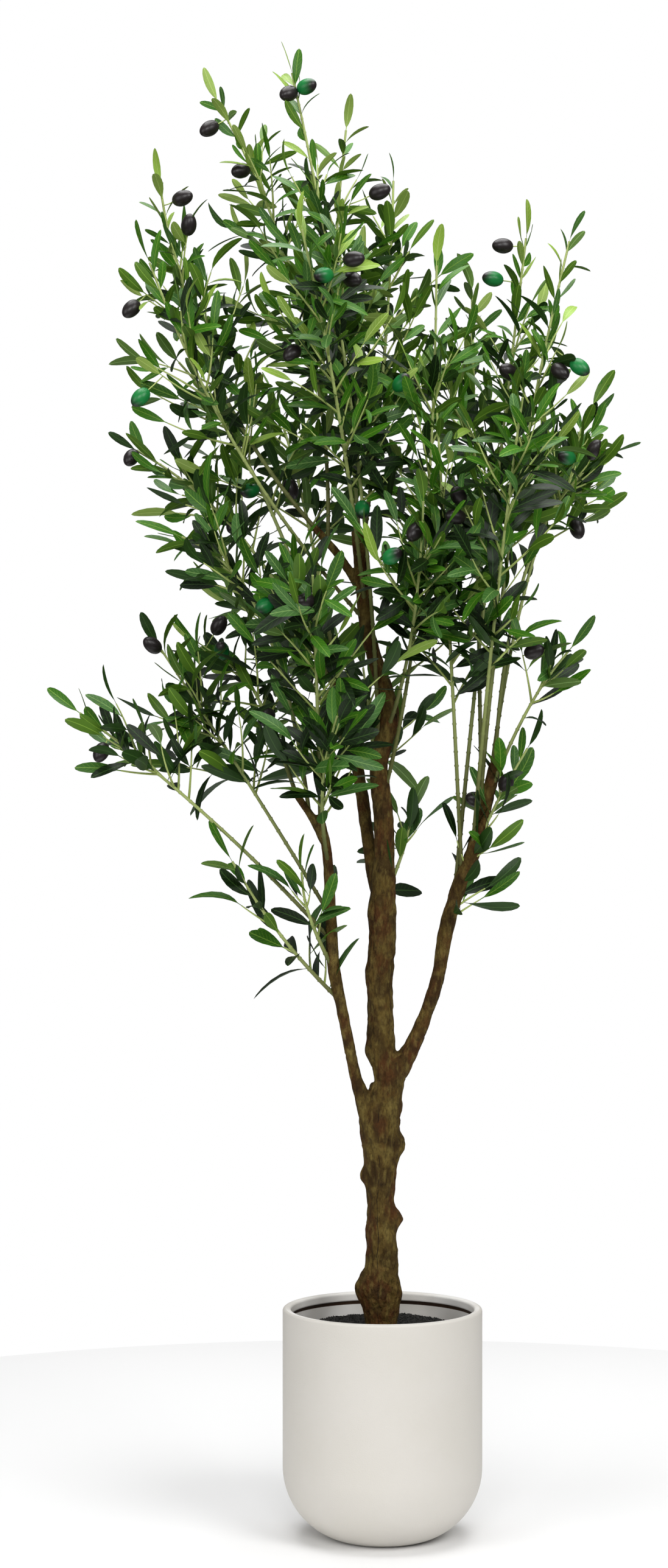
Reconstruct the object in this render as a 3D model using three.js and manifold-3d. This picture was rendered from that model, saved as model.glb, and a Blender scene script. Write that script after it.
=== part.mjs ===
// Artificial olive tree, a little over 2.1 m tall, in a pale round pot filled with dark soil.
// A moulded trunk forks into boughs, and green stems rise from them with twigs, leaves and olives.
// Millimetres, +Z up, +Y away from the front; the origin is the middle of the pot's flat underside.
import * as THREE from "three";
import { ConvexGeometry } from "three/addons/geometries/ConvexGeometry.js";
import { mergeVertices } from "three/addons/utils/BufferGeometryUtils.js";
import Module from "manifold-3d";

// Gap between pieces that meet
const CLEAR = 0.3;

// Pot with a rolled rim, straight walls and a round bottom that is cut flat to stand on
const POT_HEIGHT = 325;
const POT_RADIUS = 142.5;
const POT_FOOT_RADIUS = 70;
const POT_BOTTOM_ROUNDING = 105;
const POT_WALL = 7;
const RIM_WIDTH = 12;
const RIM_DEPTH = 12;
const RIM_ROUNDING = 4;
const RIM_UNDERCUT = 3;
const POT_SEGMENTS = 32;
const OUTER_ARC_STEPS = 7;
const INNER_ARC_STEPS = 3;
const RIM_ARC_STEPS = 2;
const SOIL_LEVEL = 299;
const SOIL_EDGE_DROP = 18;
const SOIL_TOP_RADIUS = 98;

// Limbs as rows of x, y, z and radius, from a root inside the limb that carries them to their cut tip
const TRUNK_FOOT = SOIL_LEVEL + CLEAR;
const LIMBS = {
  trunk: {
    rows: [
      [-2, 0, TRUNK_FOOT, 22], [-2, 0, 345, 26], [-1, 1, 405, 22.5], [-2.5, 2, 465, 19.5], [-1.5, 2, 530, 23],
      [-4, 1, 590, 30], [3, 2, 626, 25], [10, 3, 645, 20.5], [3, 3, 674, 19], [-1.5, 3, 705, 20],
      [-2.5, 4, 790, 18.8], [1, 4, 885, 18.5], [3, 4, 975, 15.5], [1, 5, 1035, 14.3], [-5, 7, 1105, 13.2],
      [10.5, 9, 1165, 14], [6, 10, 1202, 12], [-20, 13, 1289, 11], [-34, 16, 1437, 11.5],
    ],
    sides: 10,
    stepsPerRow: 2,
  },
  left_bough: {
    carrier: "trunk",
    rows: [
      [-14, -3, 580, 16], [-25, -7, 616, 13], [-37, -10, 650, 8.7], [-47, -15, 697, 8.5],
      [-59, -20, 758, 8.3], [-70, -25, 815, 9], [-74, -28, 889, 8.3], [-79, -30, 976, 7], [-90, -33, 1030, 6],
    ],
    sides: 7,
    stepsPerRow: 2,
  },
  left_fork: {
    carrier: "left_bough",
    rows: [[-80, -31, 985, 6], [-100, -38, 1025, 6], [-126, -46, 1063, 5.2]],
    sides: 7,
    stepsPerRow: 2,
  },
  right_bough: {
    carrier: "trunk",
    rows: [
      [10, 1, 645, 18], [26, -1, 672, 16], [42, -3, 697, 12.3], [62, -6, 745, 9.8], [80, -9, 802, 9.8],
      [89, -12, 858, 11.2], [110, -15, 932, 10.8], [130, -18, 980, 11.2], [151, -22, 1063, 9.4],
      [160, -24, 1102, 8.4],
    ],
    sides: 7,
    stepsPerRow: 2,
  },
  rear_bough: {
    carrier: "trunk",
    rows: [
      [2, 6, 880, 10], [-13, 17, 945, 9.6], [-22, 28, 1005, 9.6], [-30, 38, 1063, 9.5], [-46, 52, 1150, 8],
      [-74, 70, 1240, 6.5],
    ],
    sides: 7,
    stepsPerRow: 2,
  },
  upper_bough: {
    carrier: "trunk",
    rows: [[-27, 14, 1345, 7.5], [-59, 2, 1395, 6.5], [-100, -12, 1442, 5.2]],
    sides: 7,
    stepsPerRow: 2,
  },
};

// Burls on the trunk as height, bearing in degrees from +X, swell and spread
const TRUNK_BURLS = [
  [352, 182, 12, 20], [343, 350, 5, 16], [380, 80, 6, 16], [420, 270, 4, 14], [452, 0, 14, 13],
  [436, 185, 4, 10], [480, 95, 7, 14], [513, 180, 9, 12], [557, 5, 12, 15], [575, 262, 5, 15],
  [606, 20, 5, 16], [692, 190, 5, 12], [800, 185, 4, 20], [890, 190, 5, 24],
];

// Sprays as the limb and the height where the stem starts, the place that its end leaf reaches, the
// offset that bows the stem, the share of the way where its leafy stretch starts, the number of twigs,
// their size against a full one, and the olives
const SPRAYS = {
  left_low: ["left_bough", 765, [-240, -50, 1010], [-12, 0, -18], 0.05, 2, 0.4, 0],
  left_shoot: ["left_bough", 808, [-119, -95, 999], [-20, 0, 0], 0.25, 2, 0.35, 0],
  far_left: ["left_bough", 850, [-470, -70, 1205], [0, 0, 35], 0.6, 3, 0.75, 2],
  left_outer: ["left_bough", 885, [-350, 20, 1315], [0, 20, 10], 0.45, 3, 0.85, 1],
  left_up: ["left_fork", 1032, [-330, -110, 1440], [50, 0, 160], 0.45, 3, 0.8, 1],
  left_inner: ["left_fork", 1058, [-255, 110, 1290], [0, 0, 60], 0.4, 2, 0.85, 0],
  left_front: ["left_bough", 960, [-50, -170, 1215], [-30, -20, 0], 0.3, 3, 0.7, 1],
  centre_front: ["left_bough", 1024, [-100, -240, 1400], [0, 0, 60], 0.3, 3, 0.9, 1],
  rear_left: ["rear_bough", 1160, [-405, 140, 1592], [30, 0, 110], 0.52, 3, 0.9, 1],
  rear_high: ["rear_bough", 1236, [-330, 60, 1725], [0, 10, 120], 0.36, 2, 0.9, 1],
  rear_back: ["rear_bough", 1200, [-180, 330, 1718], [0, 0, 100], 0.36, 2, 1, 0],
  rear_side: ["rear_bough", 1090, [-250, 280, 1400], [0, 0, 60], 0.36, 2, 1, 0],
  rear_skirt: ["trunk", 1000, [-30, 260, 1290], [0, 20, 0], 0.4, 2, 0.8, 0],
  left_high: ["upper_bough", 1440, [-325, -20, 1975], [-80, 0, -20], 0.4, 3, 0.95, 1],
  left_crest: ["trunk", 1305, [-345, -120, 1848], [-60, -30, -20], 0.5, 3, 0.85, 1],
  top_left: ["upper_bough", 1418, [-262, 70, 2110], [85, 0, 40], 0.36, 3, 0.85, 1],
  top: ["trunk", 1110, [-140, -60, 2128], [40, -20, 60], 0.38, 4, 1, 1],
  top_right: ["trunk", 1430, [-46, 60, 2073], [-50, 0, 0], 0.3, 3, 0.8, 1],
  right_of_top: ["trunk", 1395, [20, 150, 2015], [20, 0, 30], 0.36, 3, 0.95, 1],
  leader_front: ["trunk", 1322, [-125, -210, 1880], [10, -40, 40], 0.3, 3, 1, 2],
  leader_back: ["trunk", 1365, [-70, 330, 1880], [0, 20, 60], 0.36, 2, 1, 0],
  centre_low: ["trunk", 1150, [55, -200, 1510], [20, -20, -40], 0.42, 3, 0.85, 1],
  centre_right: ["trunk", 1048, [76, -60, 1858], [40, -10, -60], 0.3, 3, 1, 1],
  right_skirt: ["right_bough", 852, [232, -40, 1170], [-22, 0, 5], 0.05, 4, 0.38, 1],
  right_high: ["right_bough", 905, [215, 50, 1915], [0, 10, 60], 0.5, 3, 1, 1],
  right_inner: ["right_bough", 940, [70, -140, 1640], [0, 0, 40], 0.36, 3, 0.9, 1],
  right_front: ["right_bough", 972, [190, -280, 1640], [0, 0, 90], 0.36, 3, 1, 1],
  right_peak: ["right_bough", 1000, [275, -60, 1890], [-30, -30, 60], 0.5, 3, 0.9, 1],
  right_back: ["right_bough", 1022, [140, 290, 1870], [0, 20, 100], 0.42, 2, 1.1, 1],
  right_out: ["right_bough", 1063, [330, 90, 1670], [-30, 40, 80], 0.6, 3, 0.85, 1],
  right_far: ["right_bough", 1099, [356, -50, 1565], [-60, 0, 150], 0.75, 3, 0.6, 1],
  right_low: ["right_bough", 1043, [294, -90, 1302], [-12, 0, 30], 0.4, 3, 0.46, 1],
  trunk_skirt: ["trunk", 905, [54, 62, 1080], [10, 28, 0], 0.1, 2, 0.36, 0],
};

// Growth of a spray
const STEM_RADIUS = 5.2;
const STEM_TIP_RADIUS = 3;
const STEM_SIDES = 4;
const STEM_STEPS = 4;
const STEM_NUMBER = 0;
const BOW_AT = 0.4;
const LEAFY_TO = 0.86;
const TOP_FROM = 0.8;
const TWIG_LENGTH = 165;
const TWIG_SHORTENING = 0.4;
const TWIG_OPENING_LOW = 0.95;
const TWIG_OPENING_HIGH = 0.55;
const TWIG_LIFT = 0.25;
const TWIG_RADIUS = 3.5;
const TWIG_TIP_RADIUS = 3.2;
const TWIG_SIDES = 3;
const TWIG_STRAY = 0.5;
const GOLDEN_ANGLE = Math.PI * (3 - Math.sqrt(5));

// Leaf, larger than life because the tree carries a few thousand
const LEAF_LENGTH = 108;
const LEAF_WIDTH = 31;
const LEAF_KEEL = 3.2;
const LEAF_BROADEST_AT = 0.45;
const LEAF_OPENING = 0.85;
const LEAF_PAIRS_AT = [0.38, 0.74];
const LEAF_UPWARD = 0.6;
const LEAF_TURN = 0.35;
const END_LEAF_LENGTH = 80;
const END_LEAF_BEND = 0.05;
const LEAF_SINK = 3;

// Olive on its stalk
const OLIVE_RADIUS = 11.5;
const OLIVE_HALF_LENGTH = 16.5;
const STALK_LENGTH = 12;
const STALK_RADIUS = 1.5;
const STALK_FROM = 0.3;
const STALK_TO = 0.7;

// Depth of the slivers that are smoothed from a fused spray
const SLIVER = 0.05;

// The crown's reach, which no leaf passes
const CROWN = new THREE.Box3(new THREE.Vector3(-477, -345, 790), new THREE.Vector3(360, 400, 2132));

const COLOURS = {
  pot: { color: 0xdedad2, roughness: 0.7, metalness: 0 },
  soil: { color: 0x2a2a2b, roughness: 1, metalness: 0 },
  bark: { color: 0x5d4c33, roughness: 0.85, metalness: 0 },
  foliage: { color: 0x33602f, roughness: 0.55, metalness: 0 },
};

const X_AXIS = new THREE.Vector3(1, 0, 0);
const Y_AXIS = new THREE.Vector3(0, 1, 0);
const Z_AXIS = new THREE.Vector3(0, 0, 1);
const SIDEWAYS = 0.8;

const wasm = await Module();
wasm.setup();

// Closed body from a geometry, welded and without the flat faces on a lathe's axis
function solid(geometry) {
  const bare = new THREE.BufferGeometry();
  bare.setAttribute("position", geometry.getAttribute("position"));
  bare.setIndex(geometry.getIndex());
  const welded = mergeVertices(bare, 1e-4);
  const index = welded.getIndex().array;
  const faces = [];
  for (let i = 0; i < index.length; i += 3) {
    const [a, b, c] = index.slice(i, i + 3);
    if (a !== b && b !== c && c !== a) faces.push(a, b, c);
  }
  return new wasm.Manifold(new wasm.Mesh({
    numProp: 3,
    vertProperties: new Float32Array(welded.getAttribute("position").array),
    triVerts: new Uint32Array(faces),
  }));
}

// The largest piece of a cut or fused body, without loose scraps and sealed hollows
function wholePiece(body) {
  const pieces = body.decompose();
  return pieces.reduce((best, piece) => (piece.volume() > best.volume() ? piece : best));
}

function partMesh(name, body, look) {
  const { vertProperties, triVerts } = body.getMesh();
  const geometry = new THREE.BufferGeometry();
  geometry.setAttribute("position", new THREE.BufferAttribute(new Float32Array(vertProperties), 3));
  geometry.setIndex(new THREE.BufferAttribute(new Uint32Array(triVerts), 1));
  geometry.computeVertexNormals();
  const mesh = new THREE.Mesh(geometry, new THREE.MeshStandardMaterial(look));
  mesh.name = name;
  return mesh;
}

function arcPoints(centreX, centreY, radius, from, to, steps) {
  const curve = new THREE.EllipseCurve(centreX, centreY, radius, radius, from, to, to < from);
  return curve.getPoints(steps);
}

function turnedBody(profile) {
  const geometry = new THREE.LatheGeometry(profile, POT_SEGMENTS);
  geometry.rotateX(Math.PI / 2);
  return solid(geometry);
}

// Round bottom of the pot at a depth below its outer skin, from the flat floor up to the straight wall
function bottomArc(depth, floor, steps) {
  const radius = POT_BOTTOM_ROUNDING - depth;
  const centreX = POT_RADIUS - POT_BOTTOM_ROUNDING;
  const centreY = Math.sqrt(POT_BOTTOM_ROUNDING ** 2 - (POT_FOOT_RADIUS - centreX) ** 2);
  return arcPoints(centreX, centreY, radius, -Math.asin((centreY - floor) / radius), 0, steps);
}

function potBody() {
  const rimInner = POT_RADIUS - RIM_WIDTH;
  const wallInner = POT_RADIUS - POT_WALL;
  const rimTop = POT_HEIGHT - RIM_ROUNDING;
  const profile = [
    new THREE.Vector2(0, 0),
    ...bottomArc(0, 0, OUTER_ARC_STEPS),
    ...arcPoints(POT_RADIUS - RIM_ROUNDING, rimTop, RIM_ROUNDING, 0, Math.PI / 2, RIM_ARC_STEPS),
    ...arcPoints(rimInner + RIM_ROUNDING, rimTop, RIM_ROUNDING, Math.PI / 2, Math.PI, RIM_ARC_STEPS),
    new THREE.Vector2(rimInner, POT_HEIGHT - RIM_DEPTH),
    new THREE.Vector2(wallInner, POT_HEIGHT - RIM_DEPTH - RIM_UNDERCUT),
    ...bottomArc(POT_WALL, POT_WALL, INNER_ARC_STEPS).reverse(),
    new THREE.Vector2(0, POT_WALL),
  ];
  return turnedBody(profile);
}

function soilBody() {
  const depth = POT_WALL + CLEAR;
  const edge = POT_RADIUS - depth;
  const profile = [
    new THREE.Vector2(0, depth),
    ...bottomArc(depth, depth, INNER_ARC_STEPS),
    new THREE.Vector2(edge, SOIL_LEVEL - SOIL_EDGE_DROP),
    new THREE.Vector2(SOIL_TOP_RADIUS, SOIL_LEVEL),
    new THREE.Vector2(0, SOIL_LEVEL),
  ];
  return turnedBody(profile);
}

// Axes across a direction, to the side and to the back where it points up. The reference is the side,
// or the back for a direction that runs mostly sideways
function crossAxes(tangent, reference) {
  const back = tangent.clone().cross(reference).normalize();
  const side = back.clone().cross(tangent);
  return { side, back };
}

function referenceAxis(direction) {
  return Math.abs(direction.x) < SIDEWAYS * direction.length() ? X_AXIS : Y_AXIS;
}

// Cylinder bent along a curve, its radius given by the share of the way, the bearing and the height;
// both ends are pushed out by the given amount
function bentCylinder(curve, radiusAt, sides, steps, endPush = 0) {
  const geometry = new THREE.CylinderGeometry(1, 1, 1, sides, steps);
  const places = geometry.getAttribute("position");
  const reference = referenceAxis(curve.getPoint(1).sub(curve.getPoint(0)));
  const local = new THREE.Vector3();
  for (let i = 0; i < places.count; i += 1) {
    local.fromBufferAttribute(places, i);
    const share = Math.round((local.y + 0.5) * steps) / steps;
    const tangent = curve.getTangent(share);
    const { side, back } = crossAxes(tangent, reference);
    const place = curve.getPoint(share);
    const radius = radiusAt(share, Math.atan2(-local.z, local.x), place.z);
    place.addScaledVector(side, local.x * radius);
    place.addScaledVector(back, -local.z * radius);
    if (share === 1) place.addScaledVector(tangent, endPush);
    if (share === 0) place.addScaledVector(tangent, -endPush);
    places.setXYZ(i, place.x, place.y, place.z);
  }
  return solid(geometry);
}

function limbCurve(rows) {
  const points = rows.map(([x, y, z]) => new THREE.Vector3(x, y, z));
  return new THREE.CatmullRomCurve3(points, false, "catmullrom", 0.5);
}

function rowRadius(rows, share) {
  const at = share * (rows.length - 1);
  const first = Math.min(Math.floor(at), rows.length - 2);
  return THREE.MathUtils.lerp(rows[first][3], rows[first + 1][3], at - first);
}

// Swell of the burls at a bearing and a height on a limb of the given radius
function burlSwell(burls, radius, bearing, height) {
  let swell = 0;
  for (const [burlHeight, degrees, rise, spread] of burls) {
    const turn = bearing - THREE.MathUtils.degToRad(degrees);
    const across = radius * Math.atan2(Math.sin(turn), Math.cos(turn));
    swell += rise * Math.exp(-(across ** 2 + (height - burlHeight) ** 2) / spread ** 2);
  }
  return swell;
}

function limbBody(name, growth) {
  const { rows, sides, stepsPerRow } = LIMBS[name];
  const burls = name === "trunk" ? TRUNK_BURLS : [];
  const radiusAt = (share, bearing, height) => {
    const radius = rowRadius(rows, share);
    return radius + burlSwell(burls, radius, bearing, height) + growth;
  };
  return bentCylinder(limbCurve(rows), radiusAt, sides, stepsPerRow * (rows.length - 1), growth);
}

function cutLimbBody(name) {
  const { carrier } = LIMBS[name];
  const body = limbBody(name, 0);
  return carrier ? wholePiece(body.subtract(limbBody(carrier, CLEAR))) : body;
}

// Share of the way along a rising curve at a height
function shareAtHeight(curve, height) {
  let low = 0;
  let high = 1;
  for (let i = 0; i < 40; i += 1) {
    const middle = (low + high) / 2;
    if (curve.getPoint(middle).z < height) low = middle;
    else high = middle;
  }
  return low;
}

// Repeatable dice between 0 and 1, the same for a name's place in the list
function seededDice(seed) {
  let state = seed * 7919 + 104729;
  return () => {
    state = (state * 48271) % 2147483647;
    return state / 2147483647;
  };
}

// Stem from inside its limb to an end leaf's length short of the spray's tip
function sprayStem(limb, height, tip, bow) {
  const carrier = limbCurve(LIMBS[limb].rows);
  const root = carrier.getPoint(shareAtHeight(carrier, height));
  const reach = new THREE.Vector3(...tip);
  const middle = root.clone().lerp(reach, BOW_AT).add(new THREE.Vector3(...bow));
  const end = reach.clone().sub(middle).normalize().multiplyScalar(-END_LEAF_LENGTH).add(reach);
  return new THREE.QuadraticBezierCurve3(root, middle, end);
}

// Twigs by the seeded rule: spread along the leafy stretch, turned by the golden angle, shorter to the top
function growTwigs({ stem, leafyFrom, twigs, size, dice }) {
  const grown = [];
  for (let i = 0; i < twigs; i += 1) {
    const share = (i + 0.5 + TWIG_STRAY * (dice() - 0.5)) / twigs;
    const turn = i * GOLDEN_ANGLE + dice();
    const length = size * TWIG_LENGTH * (1 - TWIG_SHORTENING * share) * (1 + TWIG_STRAY * (dice() - 0.5));
    const lift = TWIG_LIFT * dice();
    const at = THREE.MathUtils.lerp(leafyFrom, LEAFY_TO, share);
    const opening = THREE.MathUtils.lerp(TWIG_OPENING_LOW, TWIG_OPENING_HIGH, share);
    const tangent = stem.getTangent(at);
    const { side, back } = crossAxes(tangent, referenceAxis(tangent));
    const outward = side.multiplyScalar(Math.cos(turn)).addScaledVector(back, Math.sin(turn));
    const direction = tangent.multiplyScalar(Math.cos(opening)).addScaledVector(outward, Math.sin(opening));
    direction.addScaledVector(Z_AXIS, lift).normalize();
    const root = stem.getPoint(at);
    const tip = root.clone().addScaledVector(direction, length);
    grown.push({ number: i + 1, root, direction, tip });
  }
  return grown;
}

// The stem's own leafy end, as the first shoot
function topShoot(stem) {
  const root = stem.getPoint(TOP_FROM);
  const tip = stem.getPoint(1);
  return { number: STEM_NUMBER, root, direction: stem.getTangent(1), tip };
}

// Leaves of one shoot: pairs across it, each turned a quarter from the last, and one that ends it.
// Each leaf faces its own way, upward more than down
function shootLeaves({ number, root, direction, tip }, dice) {
  const { side, back } = crossAxes(direction, referenceAxis(direction));
  const leaves = [];
  const addLeaf = (from, along, leafLength, sink) => {
    const roll = 2 * Math.PI * dice();
    const face = new THREE.Vector3(Math.cos(roll), Math.sin(roll), LEAF_UPWARD);
    const sunk = from.clone().addScaledVector(along, -sink);
    leaves.push({ number, root: sunk, along, length: leafLength + sink, face });
  };
  LEAF_PAIRS_AT.forEach((share, pair) => {
    const turn = LEAF_TURN + number * GOLDEN_ANGLE + pair * Math.PI / 2;
    const outward = side.clone().multiplyScalar(Math.cos(turn)).addScaledVector(back, Math.sin(turn));
    for (const hand of [-1, 1]) {
      const along = direction.clone().multiplyScalar(Math.cos(LEAF_OPENING));
      along.addScaledVector(outward, hand * Math.sin(LEAF_OPENING));
      addLeaf(root.clone().lerp(tip, share), along, LEAF_LENGTH, LEAF_SINK / 2);
    }
  });
  const ending = direction.clone().addScaledVector(side, END_LEAF_BEND).normalize();
  addLeaf(tip, ending, END_LEAF_LENGTH, LEAF_SINK);
  return leaves;
}

// Pointed blade with a keel: its midrib runs below the line between its two broadest points
function leafBody(root, along, length, face) {
  const across = along.clone().cross(face).normalize();
  const upward = across.clone().cross(along);
  const at = (way, aside, up) => root.clone().addScaledVector(along, way * length)
    .addScaledVector(across, aside).addScaledVector(upward, up);
  return solid(new ConvexGeometry([
    at(0, 0, 0),
    at(1, 0, 0),
    at(LEAF_BROADEST_AT, LEAF_WIDTH / 2, LEAF_KEEL),
    at(LEAF_BROADEST_AT, -LEAF_WIDTH / 2, LEAF_KEEL),
  ]));
}

function stemBody(stem) {
  const radiusAt = (share) => THREE.MathUtils.lerp(STEM_RADIUS, STEM_TIP_RADIUS, share);
  return bentCylinder(stem, radiusAt, STEM_SIDES, STEM_STEPS);
}

function twigBody(from, to, startRadius, endRadius) {
  const radiusAt = (share) => THREE.MathUtils.lerp(startRadius, endRadius, share);
  return bentCylinder(new THREE.LineCurve3(from, to), radiusAt, TWIG_SIDES, 1);
}

// Olive that hangs on its stalk from a place on a twig
function oliveBody({ root, tip }, dice) {
  const from = root.clone().lerp(tip, THREE.MathUtils.lerp(STALK_FROM, STALK_TO, dice()));
  const hang = new THREE.Vector3(dice() - 0.5, dice() - 0.5, -1).normalize();
  const centre = from.clone().addScaledVector(hang, STALK_LENGTH + OLIVE_HALF_LENGTH);
  const fruit = new THREE.IcosahedronGeometry(1, 0);
  fruit.scale(OLIVE_RADIUS, OLIVE_RADIUS, OLIVE_HALF_LENGTH);
  fruit.applyQuaternion(new THREE.Quaternion().setFromUnitVectors(Z_AXIS, hang));
  fruit.translate(centre.x, centre.y, centre.z);
  return solid(fruit).add(twigBody(from, centre, STALK_RADIUS, STALK_RADIUS));
}

// Bodies placed so far, with the limb or spray and the shoot that each belongs to
const placed = [];

function bodyBox(body) {
  const { min, max } = body.boundingBox();
  return new THREE.Box3(new THREE.Vector3(...min), new THREE.Vector3(...max));
}

function place(owner, shoot, body) {
  placed.push({ owner, shoot, body, box: bodyBox(body) });
}

// Whether a body keeps its distance from all that is placed, but for what it may touch
function isClear(body, mayTouch) {
  const box = bodyBox(body).expandByScalar(CLEAR);
  return placed.every((other) => mayTouch(other) || !box.intersectsBox(other.box)
    || body.minGap(other.body, 2 * CLEAR) > CLEAR);
}

const group = new THREE.Group();
group.add(partMesh("pot", potBody(), COLOURS.pot));
group.add(partMesh("soil", soilBody(), COLOURS.soil));

for (const name of Object.keys(LIMBS)) {
  const body = cutLimbBody(name);
  place(name, STEM_NUMBER, body);
  group.add(partMesh(name, body, COLOURS.bark));
}

// All stems first, then all twigs, then olives and leaves, so that each spray keeps its own room
const sprays = Object.entries(SPRAYS).map(([name, values], index) => {
  const [limb, height, tip, bow, leafyFrom, twigs, size, olives] = values;
  const stem = sprayStem(limb, height, tip, bow);
  const body = stemBody(stem);
  place(name, STEM_NUMBER, body);
  const dice = seededDice(index + 1);
  return { name, limb, stem, leafyFrom, twigs, size, olives, bodies: [body], dice };
});

function addToSpray({ name, bodies }, shoot, body, mayTouch) {
  const clear = isClear(body, (other) => other.owner === name && mayTouch(other.shoot));
  if (clear) {
    place(name, shoot, body);
    bodies.push(body);
  }
  return clear;
}

for (const spray of sprays) {
  const twigs = growTwigs(spray).filter(({ number, root, tip }) => {
    const body = twigBody(root, tip, TWIG_RADIUS, TWIG_TIP_RADIUS);
    return addToSpray(spray, number, body, (shoot) => shoot === STEM_NUMBER);
  });
  spray.shoots = [topShoot(spray.stem), ...twigs];
}

for (const spray of sprays) {
  for (const twig of spray.shoots.slice(1, 1 + spray.olives)) {
    addToSpray(spray, twig.number, oliveBody(twig, spray.dice), (shoot) => shoot === twig.number);
  }
}

for (const spray of sprays) {
  const leaves = spray.shoots.flatMap((shoot) => shootLeaves(shoot, spray.dice));
  for (const { number, root, along, length, face } of leaves) {
    const body = leafBody(root, along, length, face);
    const tip = root.clone().addScaledVector(along, length);
    if (CROWN.containsPoint(tip)) addToSpray(spray, number, body, (shoot) => shoot === number);
  }
}

for (const { name, limb, bodies } of sprays) {
  const fused = bodies.reduce((whole, body) => whole.add(body));
  const cut = fused.subtract(limbBody(limb, CLEAR)).simplify(SLIVER);
  group.add(partMesh(name, wholePiece(cut), COLOURS.foliage));
}

export default group;
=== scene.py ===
"""Looks of an artificial olive tree that stands in a cream pot filled with dark soil."""
import math
from functools import partial

import bpy
import numpy as np
from mathutils import Matrix, kdtree, noise


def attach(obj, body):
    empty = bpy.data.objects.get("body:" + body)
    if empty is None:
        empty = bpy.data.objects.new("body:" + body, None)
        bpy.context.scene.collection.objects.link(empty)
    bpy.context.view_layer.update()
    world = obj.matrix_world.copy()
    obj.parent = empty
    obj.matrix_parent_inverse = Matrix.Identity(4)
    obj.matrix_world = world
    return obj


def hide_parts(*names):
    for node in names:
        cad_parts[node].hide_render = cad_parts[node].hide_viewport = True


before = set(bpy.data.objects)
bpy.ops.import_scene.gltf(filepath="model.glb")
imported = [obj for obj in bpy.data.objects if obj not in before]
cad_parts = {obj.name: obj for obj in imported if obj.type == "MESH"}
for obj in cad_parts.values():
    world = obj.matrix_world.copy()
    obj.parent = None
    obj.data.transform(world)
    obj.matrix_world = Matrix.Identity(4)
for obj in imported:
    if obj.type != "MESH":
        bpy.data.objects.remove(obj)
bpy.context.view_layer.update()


# Pot: cast in cream ceramic with a fine stipple, and painted whiter inside as painted light on the inner
# wall.
# The rim is rolled over, with a dark brown band of painted shade in the undercut under its lip; the walls
# are straight, and the round bottom ends in a flat foot on the floor.
MM = 0.001
POT_RADIUS = 142.5
POT_HEIGHT = 325
POT_WALL = 7
POT_FOOT = 70
POT_ROUNDING = 105
ROUNDING_CENTRE = POT_RADIUS - POT_ROUNDING
ROUNDING_HEIGHT = math.sqrt(POT_ROUNDING ** 2 - (POT_FOOT - ROUNDING_CENTRE) ** 2)
ROUNDING_STEPS = 24
RIM_WIDTH = 12
RIM_ROUNDING = 4
RIM_SHOULDER = 12
RIM_STEPS = 6
LIP_DEPTH = 12
LIP_EDGE = 1
LIP_CHAMFER = 0.6
LIP_UNDERCUT = 3
SHADE_BAND = 3
FOOT_HOLLOW = 1.2
FOOT_RING = 60
FOOT_EDGE = 1
FOOT_LIFT = 0.4
INSIDE_STEPS = 10
INSIDE_MARGIN = 1
POT_SEGMENTS = 160
POT_FINISHES = {
    # light and shade
    "cream_ceramic": (0xD6D2CB, 0xD4D0C8),
    # whiter inside: painted light on the inner wall and lip
    "inner_glaze": (0xF6F4F0, 0xD6D2CB),
    # dark brown band under the lip: painted shade in its undercut
    "liner_edge": (0x4A3524, 0x2E1F14),
}
INSIDE_PAINTED_LIGHT = 1
UNDER_LIP_SHADE = 2


def colour(code):
    """Linear colour with alpha from a six-digit screen colour."""
    shares = [(code >> shift & 255) / 255 for shift in (16, 8, 0)]
    linear = [s / 12.92 if s <= 0.04045 else ((s + 0.055) / 1.055) ** 2.4 for s in shares]
    return (*linear, 1.0)


def arc(centre, radius, start, end, steps):
    """Points of an arc from one angle in degrees to another."""
    angles = np.radians(np.linspace(start, end, steps + 1))
    return [(centre[0] + radius * math.cos(a), centre[1] + radius * math.sin(a)) for a in angles]


def bottom_arc(depth, floor, steps):
    """Round bottom at a depth below the pot's skin, from its floor up to the wall."""
    radius = POT_ROUNDING - depth
    start = -math.degrees(math.asin((ROUNDING_HEIGHT - floor) / radius))
    return arc((ROUNDING_CENTRE, ROUNDING_HEIGHT), radius, start, 0, steps)


def lathed_mesh(name, profile, segments):
    """Closed mesh turned about Z from pairs of radius and height in millimetres."""
    points, rings, faces = [], [], []
    for radius, height in profile:
        count = segments if radius > 0 else 1
        rings.append([len(points) + k for k in range(count)] * (segments // count))
        for k in range(count):
            turn = 2 * math.pi * k / segments
            points.append((radius * MM * math.cos(turn), radius * MM * math.sin(turn), height * MM))
    for lower, upper in zip(rings, rings[1:]):
        for k in range(segments):
            after = (k + 1) % segments
            faces.append(list(dict.fromkeys([lower[k], lower[after], upper[after], upper[k]])))
    mesh = bpy.data.meshes.new(name)
    mesh.from_pydata(points, [], faces)
    mesh.shade_smooth()
    return mesh


def placed(name, data):
    """New object of a mesh, lamp or camera, put in the scene."""
    piece = bpy.data.objects.new(name, data)
    bpy.context.scene.collection.objects.link(piece)
    return piece


def add_node(tree, kind, inputs=None, **settings):
    """Adds a node with its inputs set, or linked to a socket or a node's first output."""
    node = tree.nodes.new(kind)
    for name, value in settings.items():
        setattr(node, name, value)
    for key, value in (inputs or {}).items():
        source = value.outputs[0] if isinstance(value, bpy.types.Node) else value
        if isinstance(source, bpy.types.NodeSocket):
            tree.links.new(source, node.inputs[key])
        else:
            node.inputs[key].default_value = source
    return node


def smooth_step(tree, value, low, high):
    """Value that rises smoothly from 0 at low to 1 at high."""
    inputs = {"Value": value, "From Min": low, "From Max": high}
    return add_node(tree, "ShaderNodeMapRange", inputs, interpolation_type="SMOOTHSTEP").outputs[0]


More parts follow.
